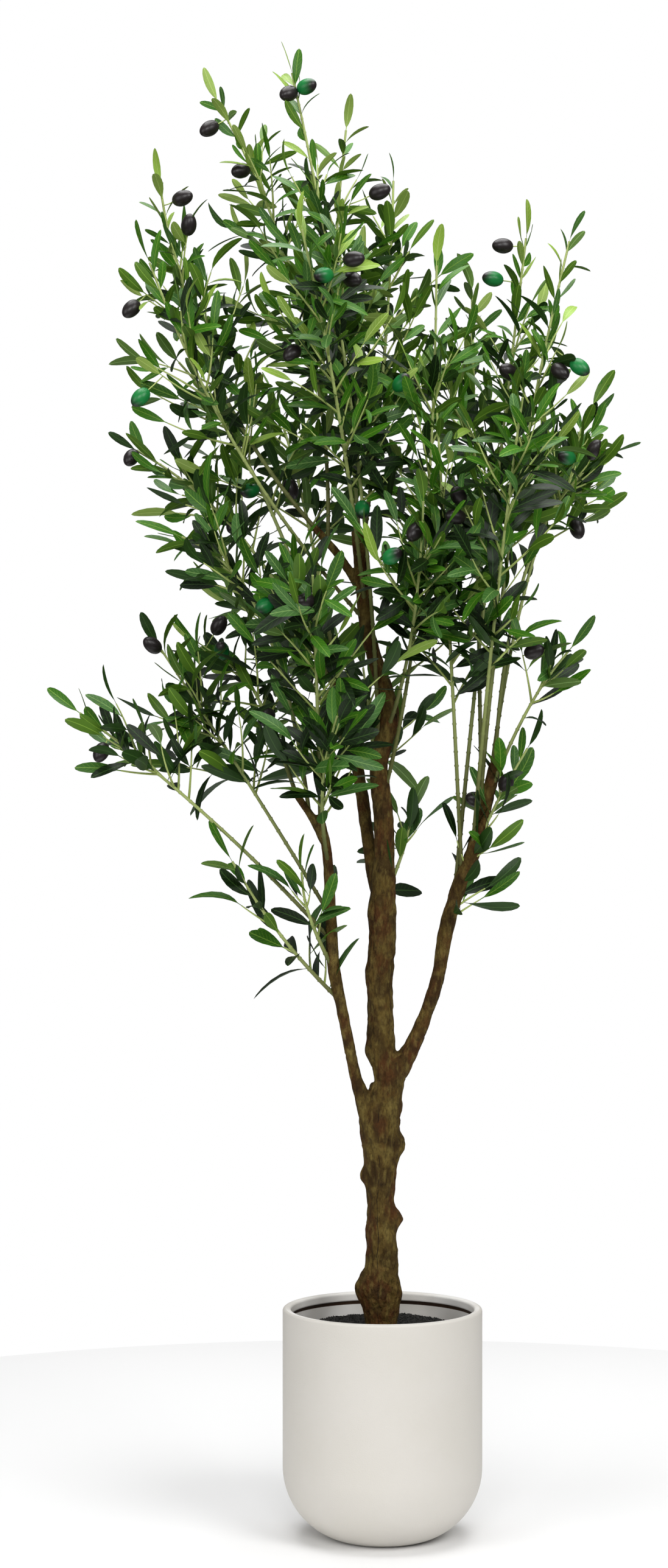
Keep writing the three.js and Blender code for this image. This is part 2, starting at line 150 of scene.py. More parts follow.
def mixed(tree, share, first, second):
    """Colour mixed from two colours or sockets."""
    return add_node(tree, "ShaderNodeMix", {0: share, 6: first, 7: second}, data_type="RGBA").outputs[2]


def node_tree(kind, name, inputs, outputs):
    """Node tree with these inputs and outputs, with its end nodes."""
    tree = bpy.data.node_groups.new(name, kind + "NodeTree")
    for way, sockets in (("INPUT", inputs), ("OUTPUT", outputs)):
        for label, socket in sockets.items():
            tree.interface.new_socket(label, in_out=way, socket_type="NodeSocket" + socket)
    return tree, tree.nodes.new("NodeGroupInput").outputs, tree.nodes.new("NodeGroupOutput").inputs


def new_material(name, roughness, gloss=0.5):
    """Material with its tree and its shader."""
    material = bpy.data.materials.new(name)
    material.use_nodes = True
    shader = material.node_tree.nodes["Principled BSDF"]
    shader.inputs["Roughness"].default_value = roughness
    shader.inputs["Specular IOR Level"].default_value = gloss
    return material, material.node_tree, shader


def colour_by(shader, socket):
    """Gives a shader its colour from a socket."""
    shader.id_data.links.new(socket, shader.inputs["Base Color"])


def bump_by(shader, height, depth, strength=1.0):
    """Raises a shader's surface by a height between 0 and 1 over a depth in millimetres."""
    tree = shader.id_data
    bump = add_node(tree, "ShaderNodeBump", {"Height": height, "Distance": depth * MM, "Strength": strength})
    tree.links.new(bump.outputs["Normal"], shader.inputs["Normal"])


# Soft blotches over a surface, stretched along an axis where needed
blotches, blotch_in, blotch_out = node_tree(
    "Shader",
    "blotches",
    {"Stretch": "Vector", "Scale": "Float", "Detail": "Float", "Low": "Float", "High": "Float"},
    {"Mask": "Float"},
)
surface_place = add_node(blotches, "ShaderNodeTexCoord").outputs["Object"]
stretched = add_node(blotches, "ShaderNodeMapping", {"Vector": surface_place, "Scale": blotch_in["Stretch"]})
cloud = add_node(blotches, "ShaderNodeTexNoise", {
    "Vector": stretched,
    "Scale": blotch_in["Scale"],
    "Detail": blotch_in["Detail"],
})
blotch_rise = smooth_step(blotches, cloud.outputs[0], blotch_in["Low"], blotch_in["High"])
blotches.links.new(blotch_rise, blotch_out["Mask"])


def blotch_mask(tree, scale, low, high, stretch=(1, 1, 1), detail=3):
    """Mask of the blotches at this scale in a material."""
    values = {"Stretch": stretch, "Scale": scale, "Detail": detail, "Low": low, "High": high}
    return add_node(tree, "ShaderNodeGroup", values, node_tree=blotches).outputs["Mask"]


lip_inner = POT_RADIUS - RIM_WIDTH
lip_under = POT_HEIGHT - LIP_DEPTH
shade_band_under = lip_under - LIP_UNDERCUT - SHADE_BAND
wall_inner = POT_RADIUS - POT_WALL
rim_top = POT_HEIGHT - RIM_ROUNDING
pot_profile = [
    (0, FOOT_HOLLOW),
    (FOOT_RING, FOOT_HOLLOW),
    (FOOT_RING + FOOT_HOLLOW, 0),
    (POT_FOOT - FOOT_EDGE, 0),
    *bottom_arc(0, FOOT_LIFT, ROUNDING_STEPS),
    (POT_RADIUS, rim_top - RIM_SHOULDER),
    *arc((POT_RADIUS - RIM_ROUNDING, rim_top), RIM_ROUNDING, 0, 90, RIM_STEPS),
    *arc((lip_inner + RIM_ROUNDING, rim_top), RIM_ROUNDING, 90, 180, RIM_STEPS),
    (lip_inner, lip_under + 2 * LIP_EDGE),
    (lip_inner, lip_under + LIP_EDGE),
    (lip_inner + LIP_CHAMFER, lip_under),
    (wall_inner, lip_under - LIP_UNDERCUT),
    (wall_inner, shade_band_under),
    *reversed(bottom_arc(POT_WALL, POT_WALL, INSIDE_STEPS)),
    (0, POT_WALL),
]
pot_mesh = lathed_mesh("pot_body", pot_profile, POT_SEGMENTS)
for finish, (light, shade) in POT_FINISHES.items():
    material, tree, shader = new_material(finish, roughness=0.55, gloss=0.35)
    clouding = blotch_mask(tree, scale=9, low=0.35, high=0.7)
    colour_by(shader, mixed(tree, clouding, colour(shade), colour(light)))
    stipple = blotch_mask(tree, scale=620, low=0.3, high=0.7, detail=2)
    bump_by(shader, stipple, depth=0.25, strength=0.35)
    pot_mesh.materials.append(material)
for face in pot_mesh.polygons:
    reach = math.hypot(*face.center[:2]) / MM
    height = face.center.z / MM
    # inner faces above the round bottom take the whiter painted light
    if height > ROUNDING_HEIGHT and reach < wall_inner + INSIDE_MARGIN:
        # the band just under the lip takes the dark painted shade
        is_under_lip_shade = shade_band_under < height < lip_under and reach > lip_inner + INSIDE_MARGIN
        face.material_index = UNDER_LIP_SHADE if is_under_lip_shade else INSIDE_PAINTED_LIGHT
pot = placed("pot_body", pot_mesh)
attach(pot, "root")
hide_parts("pot")


# Soil: dry black filling with a rough granular top, heaped around the trunk about 25 mm below the rim and
# lower along the pot's wall. Loose crumbs lie on it.
SOIL_LEVEL = 299
SOIL_GAP = 0.3
SOIL_EDGE_DROP = 18
SOIL_EDGE_MARGIN = 1
SOIL_TOP_RADIUS = 98
SOIL_RINGS = 44
SOIL_SEGMENTS = 160
SOIL_ROUGHNESS = 1.6
LUMP_SCALE = 55
GRAIN_SCALE = 210
GRAIN_SHARE = 0.7
CRUMBS_PER_SQUARE_METRE = 52000
CRUMB_SMALLEST = 0.7
CRUMB_LARGEST = 2.1
CRUMB_TURN = 6.28
CRUMB_SEED = 3
LEVEL_ENOUGH = 0.7
SOIL_DARK = 0x1C1C1B
SOIL_LIGHT = 0x45433F


def geometry_tree(name, **inputs):
    """Geometry node tree with these inputs besides its geometry and material."""
    ends = {"Geometry": "Geometry"}
    return node_tree("Geometry", name, {**ends, **inputs, "Material": "Material"}, ends)


def end_tree(tree, geometry, inputs, outputs):
    """Ends a geometry tree with what it made, in its material."""
    values = {"Geometry": geometry, "Material": inputs["Material"]}
    painted = add_node(tree, "GeometryNodeSetMaterial", values)
    tree.links.new(painted.outputs[0], outputs["Geometry"])


def plain_mesh(carrier):
    """Mesh of an object as its modifiers leave it."""
    depsgraph = bpy.context.evaluated_depsgraph_get()
    return bpy.data.meshes.new_from_object(carrier.evaluated_get(depsgraph), depsgraph=depsgraph)


def grown_mesh(mesh, tree, **values):
    """Plain mesh that a node tree makes of a mesh, with its named inputs set."""
    carrier = placed(mesh.name, mesh)
    modifier = carrier.modifiers.new(tree.name, "NODES")
    modifier.node_group = tree
    for item in tree.interface.items_tree:
        if item.in_out == "INPUT" and item.name in values:
            modifier[item.identifier] = values[item.name]
    result = plain_mesh(carrier)
    for label in mesh.attributes.keys():
        if label in result.attributes and not result.attributes[label].is_required:
            result.attributes.remove(result.attributes[label])
    bpy.data.objects.remove(carrier)
    return result


def axes_of(tree, vector):
    """The outputs X, Y and Z of a vector."""
    return add_node(tree, "ShaderNodeSeparateXYZ", {0: vector}).outputs


def random_vector(tree, low, high, seed):
    """Random vector for each point between two vectors or sockets."""
    values = {0: low, 1: high, "Seed": seed}
    return add_node(tree, "FunctionNodeRandomValue", values, data_type="FLOAT_VECTOR").outputs[0]


def soil_height(radius):
    """Height of the soil, which falls towards the wall."""
    share = max(0, radius - SOIL_TOP_RADIUS) / (soil_edge - SOIL_TOP_RADIUS)
    return SOIL_LEVEL - SOIL_EDGE_DROP * share


soil_depth = POT_WALL + SOIL_GAP
soil_edge = POT_RADIUS - soil_depth
soil_radii = [soil_edge * (1 - k / SOIL_RINGS) for k in range(SOIL_RINGS)]
soil_profile = [
    (0, soil_depth),
    *bottom_arc(soil_depth, soil_depth, INSIDE_STEPS),
    *[(radius, soil_height(radius)) for radius in soil_radii],
    (0, SOIL_LEVEL),
]
soil_mesh = lathed_mesh("soil_bed", soil_profile, SOIL_SEGMENTS)
for vertex in soil_mesh.vertices:
    if vertex.co.z > (SOIL_LEVEL - SOIL_EDGE_DROP + SOIL_EDGE_MARGIN) * MM:
        lump = noise.noise(vertex.co * LUMP_SCALE) + GRAIN_SHARE * noise.noise(vertex.co * GRAIN_SCALE)
        vertex.co.z += SOIL_ROUGHNESS * MM * lump

crumb_tree, crumb_in, crumb_out = geometry_tree(
    "soil_crumbs", Density="Float", Smallest="Vector", Largest="Vector", Seed="Int",
)
upward = axes_of(crumb_tree, add_node(crumb_tree, "GeometryNodeInputNormal"))["Z"]
on_top = add_node(crumb_tree, "FunctionNodeCompare", {0: upward, 1: LEVEL_ENOUGH}, operation="GREATER_THAN")
scatter = add_node(crumb_tree, "GeometryNodeDistributePointsOnFaces", {
    "Mesh": crumb_in["Geometry"],
    "Selection": on_top,
    "Density": crumb_in["Density"],
    "Seed": crumb_in["Seed"],
})
crumb = add_node(crumb_tree, "GeometryNodeMeshIcoSphere", {"Radius": 1.0, "Subdivisions": 1})
crumb_turn = random_vector(crumb_tree, (0, 0, 0), (CRUMB_TURN,) * 3, crumb_in["Seed"])
crumbs = add_node(crumb_tree, "GeometryNodeInstanceOnPoints", {
    "Points": scatter,
    "Instance": crumb,
    "Rotation": add_node(crumb_tree, "FunctionNodeEulerToRotation", {0: crumb_turn}),
    "Scale": random_vector(crumb_tree, crumb_in["Smallest"], crumb_in["Largest"], crumb_in["Seed"]),
})
loose = add_node(crumb_tree, "GeometryNodeRealizeInstances", {0: crumbs})
with_bed = add_node(crumb_tree, "GeometryNodeJoinGeometry", {0: loose})
crumb_tree.links.new(crumb_in["Geometry"], with_bed.inputs[0])
end_tree(crumb_tree, with_bed, crumb_in, crumb_out)

dark_soil, tree, shader = new_material("dark_soil", roughness=0.95, gloss=0.2)
grains = blotch_mask(tree, scale=330, low=0.42, high=0.75)
colour_by(shader, mixed(tree, grains, colour(SOIL_DARK), colour(SOIL_LIGHT)))
bump_by(shader, blotch_mask(tree, scale=900, low=0.3, high=0.7, detail=2), depth=0.6)

soil_mesh = grown_mesh(
    soil_mesh,
    crumb_tree,
    Density=CRUMBS_PER_SQUARE_METRE,
    Smallest=(CRUMB_SMALLEST * MM,) * 3,
    Largest=(CRUMB_LARGEST * MM,) * 3,
    Seed=CRUMB_SEED,
    Material=dark_soil,
)
soil = placed("soil_bed", soil_mesh)
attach(soil, "root")
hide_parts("soil")


# Trunk and boughs: moulded in one brown plastic with bark relief and knots, painted with darker and greener
# patches, and with a dark line of painted shade along a mould seam down the front. The trunk is planted in
# the soil.
LIMBS = {
    "trunk": [
        (-2, 0, 285, 21), (-2, 0, 299.3, 22), (-2, 0, 345, 26), (-1, 1, 405, 22.5), (-2.5, 2, 465, 19.5),
        (-1.5, 2, 530, 23), (-4, 1, 590, 30), (3, 2, 626, 25), (10, 3, 645, 20.5), (3, 3, 674, 19),
        (-1.5, 3, 705, 20), (-2.5, 4, 790, 18.8), (1, 4, 885, 18.5), (3, 4, 975, 15.5), (1, 5, 1035, 14.3),
        (-5, 7, 1105, 13.2), (10.5, 9, 1165, 14), (6, 10, 1202, 12), (-20, 13, 1289, 11),
        (-34, 16, 1437, 11.5),
    ],
    "left_bough": [
        (-14, -3, 580, 16), (-25, -7, 616, 13), (-37, -10, 650, 8.7), (-47, -15, 697, 8.5),
        (-59, -20, 758, 8.3), (-70, -25, 815, 9), (-74, -28, 889, 8.3), (-79, -30, 976, 7),
        (-90, -33, 1030, 6),
    ],
    "left_fork": [(-80, -31, 985, 6), (-100, -38, 1025, 6), (-126, -46, 1063, 5.2)],
    "right_bough": [
        (10, 1, 645, 18), (26, -1, 672, 16), (42, -3, 697, 12.3), (62, -6, 745, 9.8), (80, -9, 802, 9.8),
        (89, -12, 858, 11.2), (110, -15, 932, 10.8), (130, -18, 980, 11.2), (151, -22, 1063, 9.4),
        (160, -24, 1102, 8.4),
    ],
    "rear_bough": [
        (2, 6, 880, 10), (-13, 17, 945, 9.6), (-22, 28, 1005, 9.6), (-30, 38, 1063, 9.5), (-46, 52, 1150, 8),
        (-74, 70, 1240, 6.5),
    ],
    "upper_bough": [(-27, 14, 1345, 7.5), (-59, 2, 1395, 6.5), (-100, -12, 1442, 5.2)],
}
TRUNK_BURLS = [
    # height, bearing, rise and spread
    (352, 182, 12, 20), (343, 350, 5, 16), (380, 80, 6, 16), (420, 270, 4, 14), (452, 0, 14, 13),
    (436, 185, 4, 10), (480, 95, 7, 14), (513, 180, 9, 12), (557, 5, 12, 15), (575, 262, 5, 15),
    (606, 20, 5, 16), (692, 190, 5, 12), (800, 185, 4, 20), (890, 190, 5, 24),
]
LIMB_STEP = 5
LIMB_SIDES = 28
BARK_VOXEL = 1.8
FORK_SMOOTHING = 10
BARK_RELIEF = [
    # share of the limb's radius, scale across and along, for lumps, creases, grain and fibres
    (0.1, 26, 15), (0.05, 60, 80), (0.06, 130, 60), (0.025, 300, 140),
]
CRACK_DEPTH = 0.08
CRACK_WIDTH = 0.12
CRACK_ACROSS = 80
CRACK_ALONG = 10
CRACK_SHIFT = 9
BARK_OLIVE = 0x58461E
BARK_RED = 0x4C2A12
BARK_LIGHT = 0x7E6E3A
BARK_DARK = 0x34240E
# dark of the cracks, and of the painted shade along the seam
BARK_CRACK_AND_SEAM_SHADE = 0x1A1006
BARK_PAINTS = [
    # paint, strength, scale, low, high and upright stretch of its blotches
    (BARK_LIGHT, 0.65, 40, 0.48, 0.68, 0.7),
    (BARK_RED, 0.85, 26, 0.45, 0.6, 0.7),
    (BARK_DARK, 0.8, 34, 0.48, 0.64, 0.9),
    (BARK_LIGHT, 0.5, 150, 0.45, 0.7, 0.4),
    (BARK_DARK, 0.6, 90, 0.48, 0.66, 0.6),
    (BARK_DARK, 0.45, 330, 0.46, 0.7, 0.4),
    (BARK_CRACK_AND_SEAM_SHADE, 0.6, 130, 0.58, 0.76, 0.7),
]
# where the painted shade of the mould seam runs, in millimetres
SEAM_LEFT = -13
SEAM_STRAY = 13
SEAM_WIDTH = 1.1
SEAM_TOP = 650
SEAM_FADE = 60
SEAM_FRONT = -10
BAKE_MAP = "OFBake"


def limb_path(rows, step):
    """Smooth path through rows of x, y, z and radius, with a row about every step."""
    rows = np.array(rows, float)
    reach = np.vstack([2 * rows[0] - rows[1], rows, 2 * rows[-1] - rows[-2]])
    path = []
    for first in range(len(rows) - 1):
        before, start, end, after = reach[first:first + 4]
        count = max(2, round(np.linalg.norm((end - start)[:3]) / step))
        share = np.arange(count)[:, None] / count
        leave, arrive = 0.5 * (end - before), 0.5 * (after - start)
        bend = (2 * start - 2 * end + leave + arrive) * share ** 3
        bend += (-3 * start + 3 * end - 2 * leave - arrive) * share ** 2
        part = bend + leave * share + start
        part[:, 3] = start[3] + (end[3] - start[3]) * share[:, 0]
        path.append(part)
    return np.vstack([*path, rows[-1:]])


def path_mesh(name, paths):
    """Mesh of loose lines, one for each path of x, y, z and radius in millimetres."""
    rows = np.vstack(paths) * MM
    lines, first = [], 0
    for path in paths:
        lines += [(first + k, first + k + 1) for k in range(len(path) - 1)]
        first += len(path)
    mesh = bpy.data.meshes.new(name)
    mesh.from_pydata(rows[:, :3].tolist(), lines, [])
    girth = mesh.attributes.new("girth", "FLOAT", "POINT")
    girth.data.foreach_set("value", rows[:, 3].astype(np.float32))
    return mesh


def calculated(tree, operation, *values):
    """Output of a Math node."""
    return add_node(tree, "ShaderNodeMath", dict(enumerate(values)), operation=operation).outputs[0]


# Tubes along lines, as thick as each point says, with a map that runs along and around them
tube_tree, tube_in, tube_out = geometry_tree("tubes", Sides="Int")
parameter = add_node(tube_tree, "GeometryNodeSplineParameter").outputs["Factor"]


def captured(curve, label):
    """Outputs of a curve that keeps how far along it each point is."""
    node = add_node(tube_tree, "GeometryNodeCaptureAttribute", {"Geometry": curve})
    node.capture_items.new("FLOAT", label)
    tube_tree.links.new(parameter, node.inputs[label])
    return node.outputs


lines = captured(add_node(tube_tree, "GeometryNodeMeshToCurve", {"Mesh": tube_in["Geometry"]}), "Along")
ring = captured(add_node(tube_tree, "GeometryNodeCurvePrimitiveCircle", {
    "Resolution": tube_in["Sides"],
    "Radius": 1.0,
}), "Around")
tubes = add_node(tube_tree, "GeometryNodeCurveToMesh", {
    "Curve": lines["Geometry"],
    "Profile Curve": ring["Geometry"],
    "Scale": add_node(tube_tree, "GeometryNodeInputNamedAttribute", {"Name": "girth"}, data_type="FLOAT"),
    "Fill Caps": True,
})
tube_map = add_node(tube_tree, "ShaderNodeCombineXYZ", {
    "X": calculated(tube_tree, "PINGPONG", ring["Around"], 0.5),
    "Y": lines["Along"],
})
mapped = add_node(tube_tree, "GeometryNodeStoreNamedAttribute", {
    "Geometry": tubes,
    "Name": BAKE_MAP,
}, data_type="FLOAT2", domain="CORNER")
tube_tree.links.new(tube_map.outputs[0], mapped.inputs["Value"])
end_tree(tube_tree, add_node(tube_tree, "GeometryNodeSetShadeSmooth", {0: mapped}), tube_in, tube_out)


def vectors_of(items, kind):
    """Places or normals of a mesh's items as rows."""
    rows = np.empty(len(items) * 3, np.float32)
    items.foreach_get(kind, rows)
    return rows.reshape(-1, 3).astype(float)


def set_places(mesh, places):
    """Moves the mesh's vertices."""
    mesh.vertices.foreach_set("co", places.astype(np.float32).ravel())
    mesh.update()


def rows_at(places, scale, rows):
    """Rows of numbers, read off at places on a rising scale."""
    return np.stack([np.interp(places, scale, column) for column in rows.T], axis=-1)


def swollen(places, path, burls):
    """Pushes a limb's skin out around its burls."""
    places = places / MM
    axis = rows_at(places[:, 2], path[:, 2], path)
    outward = places[:, :2] - axis[:, :2]
    bearing = np.arctan2(outward[:, 1], outward[:, 0])
    outward /= np.maximum(np.linalg.norm(outward, axis=1), 1e-6)[:, None]
    for height, degrees, rise, spread in burls:
        turn = bearing - math.radians(degrees)
        across = axis[:, 3] * np.arctan2(np.sin(turn), np.cos(turn))
        swell = rise * np.exp(-(across ** 2 + (places[:, 2] - height) ** 2) / spread ** 2)
        places[:, :2] += outward * swell[:, None]
    return places * MM


limb_paths = {name: limb_path(rows, LIMB_STEP) for name, rows in LIMBS.items()}
moulded_bark, tree, shader = new_material("moulded_bark", roughness=0.8, gloss=0.15)
limb_lines = path_mesh("trunk_and_boughs", list(limb_paths.values()))
limb_mesh = grown_mesh(limb_lines, tube_tree, Sides=LIMB_SIDES, Material=moulded_bark)
limb_places = vectors_of(limb_mesh.vertices, "co")
trunk_skin = limb_places[:len(limb_paths["trunk"]) * LIMB_SIDES]
trunk_skin[:] = swollen(trunk_skin, limb_paths["trunk"], TRUNK_BURLS)
set_places(limb_mesh, limb_places)
bark = placed("trunk_and_boughs", limb_mesh)
fuse = bark.modifiers.new("fuse", "REMESH")
fuse.mode = "VOXEL"
fuse.voxel_size = BARK_VOXEL * MM
blend = bark.modifiers.new("blend", "SMOOTH")
blend.iterations = FORK_SMOOTHING
bark_mesh = plain_mesh(bark)
bark.modifiers.clear()
bark.data = bark_mesh

limb_rows = np.vstack(list(limb_paths.values())) * MM
nearest_row = kdtree.KDTree(len(limb_rows))
for k, row in enumerate(limb_rows):
    nearest_row.insert(row[:3], k)
nearest_row.balance()


def bark_relief(x, y, z):
    """Height of the bark at a place in metres, as a share of the limb's radius."""
    relief = sum(share * noise.noise((x * wide, y * wide, z * tall)) for share, wide, tall in BARK_RELIEF)
    crack = noise.noise((x * CRACK_ACROSS + CRACK_SHIFT, y * CRACK_ACROSS, z * CRACK_ALONG))
    return relief - CRACK_DEPTH * max(0, 1 - abs(crack) / CRACK_WIDTH)


bark_places = vectors_of(bark_mesh.vertices, "co")
bark_normals = vectors_of(bark_mesh.vertex_normals, "vector")
bark_heights = [limb_rows[nearest_row.find(p)[1], 3] * bark_relief(*p) for p in bark_places]
set_places(bark_mesh, bark_places + bark_normals * np.array(bark_heights)[:, None])
bark_mesh.shade_smooth()
bark_mesh.materials.clear()
bark_mesh.materials.append(moulded_bark)

tone = colour(BARK_OLIVE)
for paint, strength, scale, low, high, upright in BARK_PAINTS:
    mask = blotch_mask(tree, scale, low, high, stretch=(1, 1, upright), detail=6)
    tone = mixed(tree, calculated(tree, "MULTIPLY", mask, strength), tone, colour(paint))
# A dark line of painted shade along the mould seam down the front of the trunk, wandering, broken and fading
# out at its top
on_bark = axes_of(tree, add_node(tree, "ShaderNodeTexCoord").outputs["Object"])
wander = blotch_mask(tree, scale=16, low=0, high=1, stretch=(0, 0, 1), detail=5)
seam_place = calculated(tree, "ADD", calculated(tree, "MULTIPLY", wander, SEAM_STRAY * MM), SEAM_LEFT * MM)
from_seam = calculated(tree, "ABSOLUTE", calculated(tree, "SUBTRACT", on_bark["X"], seam_place))
seam_shade = smooth_step(tree, from_seam, SEAM_WIDTH * MM, 0)
for side, start, end in (("Y", 0, SEAM_FRONT), ("Z", SEAM_TOP, SEAM_TOP - SEAM_FADE)):
    seam_shade = calculated(tree, "MULTIPLY", seam_shade, smooth_step(tree, on_bark[side], start * MM, end * MM))
seam_shade = calculated(tree, "MULTIPLY", seam_shade, blotch_mask(tree, scale=45, low=0.36, high=0.6))
colour_by(shader, mixed(tree, seam_shade, tone, colour(BARK_CRACK_AND_SEAM_SHADE)))
grooves = blotch_mask(tree, scale=150, low=0.25, high=0.75, stretch=(1, 1, 0.6), detail=8)
bump_by(shader, grooves, depth=3)
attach(bark, "root")
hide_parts(*LIMBS)


# Stems and twigs: pale green moulded plastic. Each stem is plugged into a limb and carries ring joints and
# a spray of thin twigs, spread along its leafy stretch by the same seeded rule as in the solids.
SPRAYS = {
    # limb, height on it, tip, bow, start of the leafy stretch, twigs, size and olives
    "left_low": ("left_bough", 765, (-240, -50, 1010), (-12, 0, -18), 0.05, 2, 0.4, 0),
    "left_shoot": ("left_bough", 808, (-119, -95, 999), (-20, 0, 0), 0.25, 2, 0.35, 0),
    "far_left": ("left_bough", 850, (-470, -70, 1205), (0, 0, 35), 0.6, 3, 0.75, 2),
    "left_outer": ("left_bough", 885, (-350, 20, 1315), (0, 20, 10), 0.45, 3, 0.85, 1),
    "left_up": ("left_fork", 1032, (-330, -110, 1440), (50, 0, 160), 0.45, 3, 0.8, 1),
    "left_inner": ("left_fork", 1058, (-255, 110, 1290), (0, 0, 60), 0.4, 2, 0.85, 0),
    "left_front": ("left_bough", 960, (-50, -170, 1215), (-30, -20, 0), 0.3, 3, 0.7, 1),
    "centre_front": ("left_bough", 1024, (-100, -240, 1400), (0, 0, 60), 0.3, 3, 0.9, 1),
    "rear_left": ("rear_bough", 1160, (-405, 140, 1592), (30, 0, 110), 0.52, 3, 0.9, 1),
    "rear_high": ("rear_bough", 1236, (-330, 60, 1725), (0, 10, 120), 0.36, 2, 0.9, 1),
    "rear_back": ("rear_bough", 1200, (-180, 330, 1718), (0, 0, 100), 0.36, 2, 1, 0),
    "rear_side": ("rear_bough", 1090, (-250, 280, 1400), (0, 0, 60), 0.36, 2, 1, 0),
    "rear_skirt": ("trunk", 1000, (-30, 260, 1290), (0, 20, 0), 0.4, 2, 0.8, 0),
    "left_high": ("upper_bough", 1440, (-325, -20, 1975), (-80, 0, -20), 0.4, 3, 0.95, 1),
    "left_crest": ("trunk", 1305, (-345, -120, 1848), (-60, -30, -20), 0.5, 3, 0.85, 1),
    "top_left": ("upper_bough", 1418, (-262, 70, 2110), (85, 0, 40), 0.36, 3, 0.85, 1),
    "top": ("trunk", 1110, (-140, -60, 2128), (40, -20, 60), 0.38, 4, 1, 1),
    "top_right": ("trunk", 1430, (-46, 60, 2073), (-50, 0, 0), 0.3, 3, 0.8, 1),
    "right_of_top": ("trunk", 1395, (20, 150, 2015), (20, 0, 30), 0.36, 3, 0.95, 1),
    "leader_front": ("trunk", 1322, (-125, -210, 1880), (10, -40, 40), 0.3, 3, 1, 2),
    "leader_back": ("trunk", 1365, (-70, 330, 1880), (0, 20, 60), 0.36, 2, 1, 0),
    "centre_low": ("trunk", 1150, (55, -200, 1510), (20, -20, -40), 0.42, 3, 0.85, 1),
    "centre_right": ("trunk", 1048, (76, -60, 1858), (40, -10, -60), 0.3, 3, 1, 1),
    "right_skirt": ("right_bough", 852, (232, -40, 1170), (-22, 0, 5), 0.05, 4, 0.38, 1),
    "right_high": ("right_bough", 905, (215, 50, 1915), (0, 10, 60), 0.5, 3, 1, 1),
    "right_inner": ("right_bough", 940, (70, -140, 1640), (0, 0, 40), 0.36, 3, 0.9, 1),
    "right_front": ("right_bough", 972, (190, -280, 1640), (0, 0, 90), 0.36, 3, 1, 1),
    "right_peak": ("right_bough", 1000, (275, -60, 1890), (-30, -30, 60), 0.5, 3, 0.9, 1),
    "right_back": ("right_bough", 1022, (140, 290, 1870), (0, 20, 100), 0.42, 2, 1.1, 1),
    "right_out": ("right_bough", 1063, (330, 90, 1670), (-30, 40, 80), 0.6, 3, 0.85, 1),
    "right_far": ("right_bough", 1099, (356, -50, 1565), (-60, 0, 150), 0.75, 3, 0.6, 1),
    "right_low": ("right_bough", 1043, (294, -90, 1302), (-12, 0, 30), 0.4, 3, 0.46, 1),
    "trunk_skirt": ("trunk", 905, (54, 62, 1080), (10, 28, 0), 0.1, 2, 0.36, 0),
}
BOW_AT = 0.4
END_LEAF = 80
LEAFY_TO = 0.86
TWIG_LENGTH = 165
TWIG_SHORTENING = 0.4
TWIG_OPENINGS = (0.95, 0.55)
TWIG_LIFT = 0.25
TWIG_STRAY = 0.5
GOLDEN_ANGLE = math.pi * (3 - math.sqrt(5))
DICE_FACTOR = 48271
DICE_MODULUS = 2147483647
SEED_FACTOR = 7919
SEED_OFFSET = 104729
SIDEWAYS = 0.8
FINE_SEED = 100
FINE_SIZE = 0.75
FINE_TWIGS = 3.6
STEM_RADII = (3.1, 1.7)
STEM_REACH = 26
STEM_SIDES = 8
RING_EVERY = 19
RING_HALF = 2
RING_SWELL = 1.3
RING_ROWS = 3
TWIG_RADII = (1.9, 0.9)
TWIG_STEPS = 7
TWIG_SIDES = 5
TWIG_SHORTEST = 3
TWIG_BEND = 0.12
END_LEAF_LOOKS = (0, 0.3, 0.6)
TONE_CHANGE = 0.6
STEM_PALE = 0xA2B06A
STEM_BROWN = 0x57592B
TWIG_GREEN = 0x8C9C50
TWIG_FRESH = 0xB2C272
UP = np.array((0.0, 0.0, 1.0))
CAMERA_PLACE = (-69.2, -4273, 1073)
OPENINGS = np.array([
    # sky between the sprays as seen from the front against the trunk's plane: across, up and radius
    (282, 1376, 57), (308, 1159, 57), (-348, 1006, 57), (271, 1105, 57), (246, 936, 57), (-390, 1479, 57),
    (-276, 1332, 22), (-287, 1663, 18), (-348, 1203, 20), (337, 1772, 57), (-337, 1726, 19),
    (105, 1910, 57), (-460, 1061, 57), (256, 1015, 57), (-427, 1768, 57), (199, 1225, 22),
    (-272, 1102, 15), (-158, 921, 17), (203, 1774, 14), (-46, 901, 22), (65, 1825, 18), (-315, 1702, 14),
    (221, 1313, 14), (-245, 1319, 14), (-81, 2033, 28), (392, 1507, 57), (-322, 1359, 24),
    (-346, 1293, 19), (-243, 851, 57), (306, 1391, 57), (72, 975, 31), (72, 1109, 27), (-46, 936, 23),
    (-423, 1525, 57), (90, 1978, 57), (-344, 1849, 13), (-348, 1096, 11), (-77, 1956, 12), (-51, 1930, 13),
    (-204, 1260, 11), (-307, 1643, 11), (-315, 1595, 11), (9, 1698, 11), (79, 1742, 11), (201, 1394, 11),
    (-12, 1268, 15), (-20, 1306, 15), (-26, 1346, 15), (-30, 1388, 15),
])


def seeded_dice(seed):
    """Repeatable dice between 0 and 1."""
    state = seed * SEED_FACTOR + SEED_OFFSET

    def roll():
        nonlocal state
        state = state * DICE_FACTOR % DICE_MODULUS
        return state / DICE_MODULUS

    return roll


def unit(vector):
    """Vector of length 1 in the same direction."""
    return vector / np.linalg.norm(vector)


def lerp(first, second, share):
    """Value between two."""
    return first + (second - first) * share


def cross_axes(direction):
    """Two axes across a direction: to the side and to the back where it points up."""
    sideways = abs(direction[0]) >= SIDEWAYS * np.linalg.norm(direction)
    reference = np.array((0.0, 1.0, 0.0) if sideways else (1.0, 0.0, 0.0))
    back = unit(np.cross(direction, reference))
    return np.cross(back, direction), back


def across_at(direction, turn):
    """Direction across another, at an angle about it."""
    side, back = cross_axes(direction)
    return side * math.cos(turn) + back * math.sin(turn)


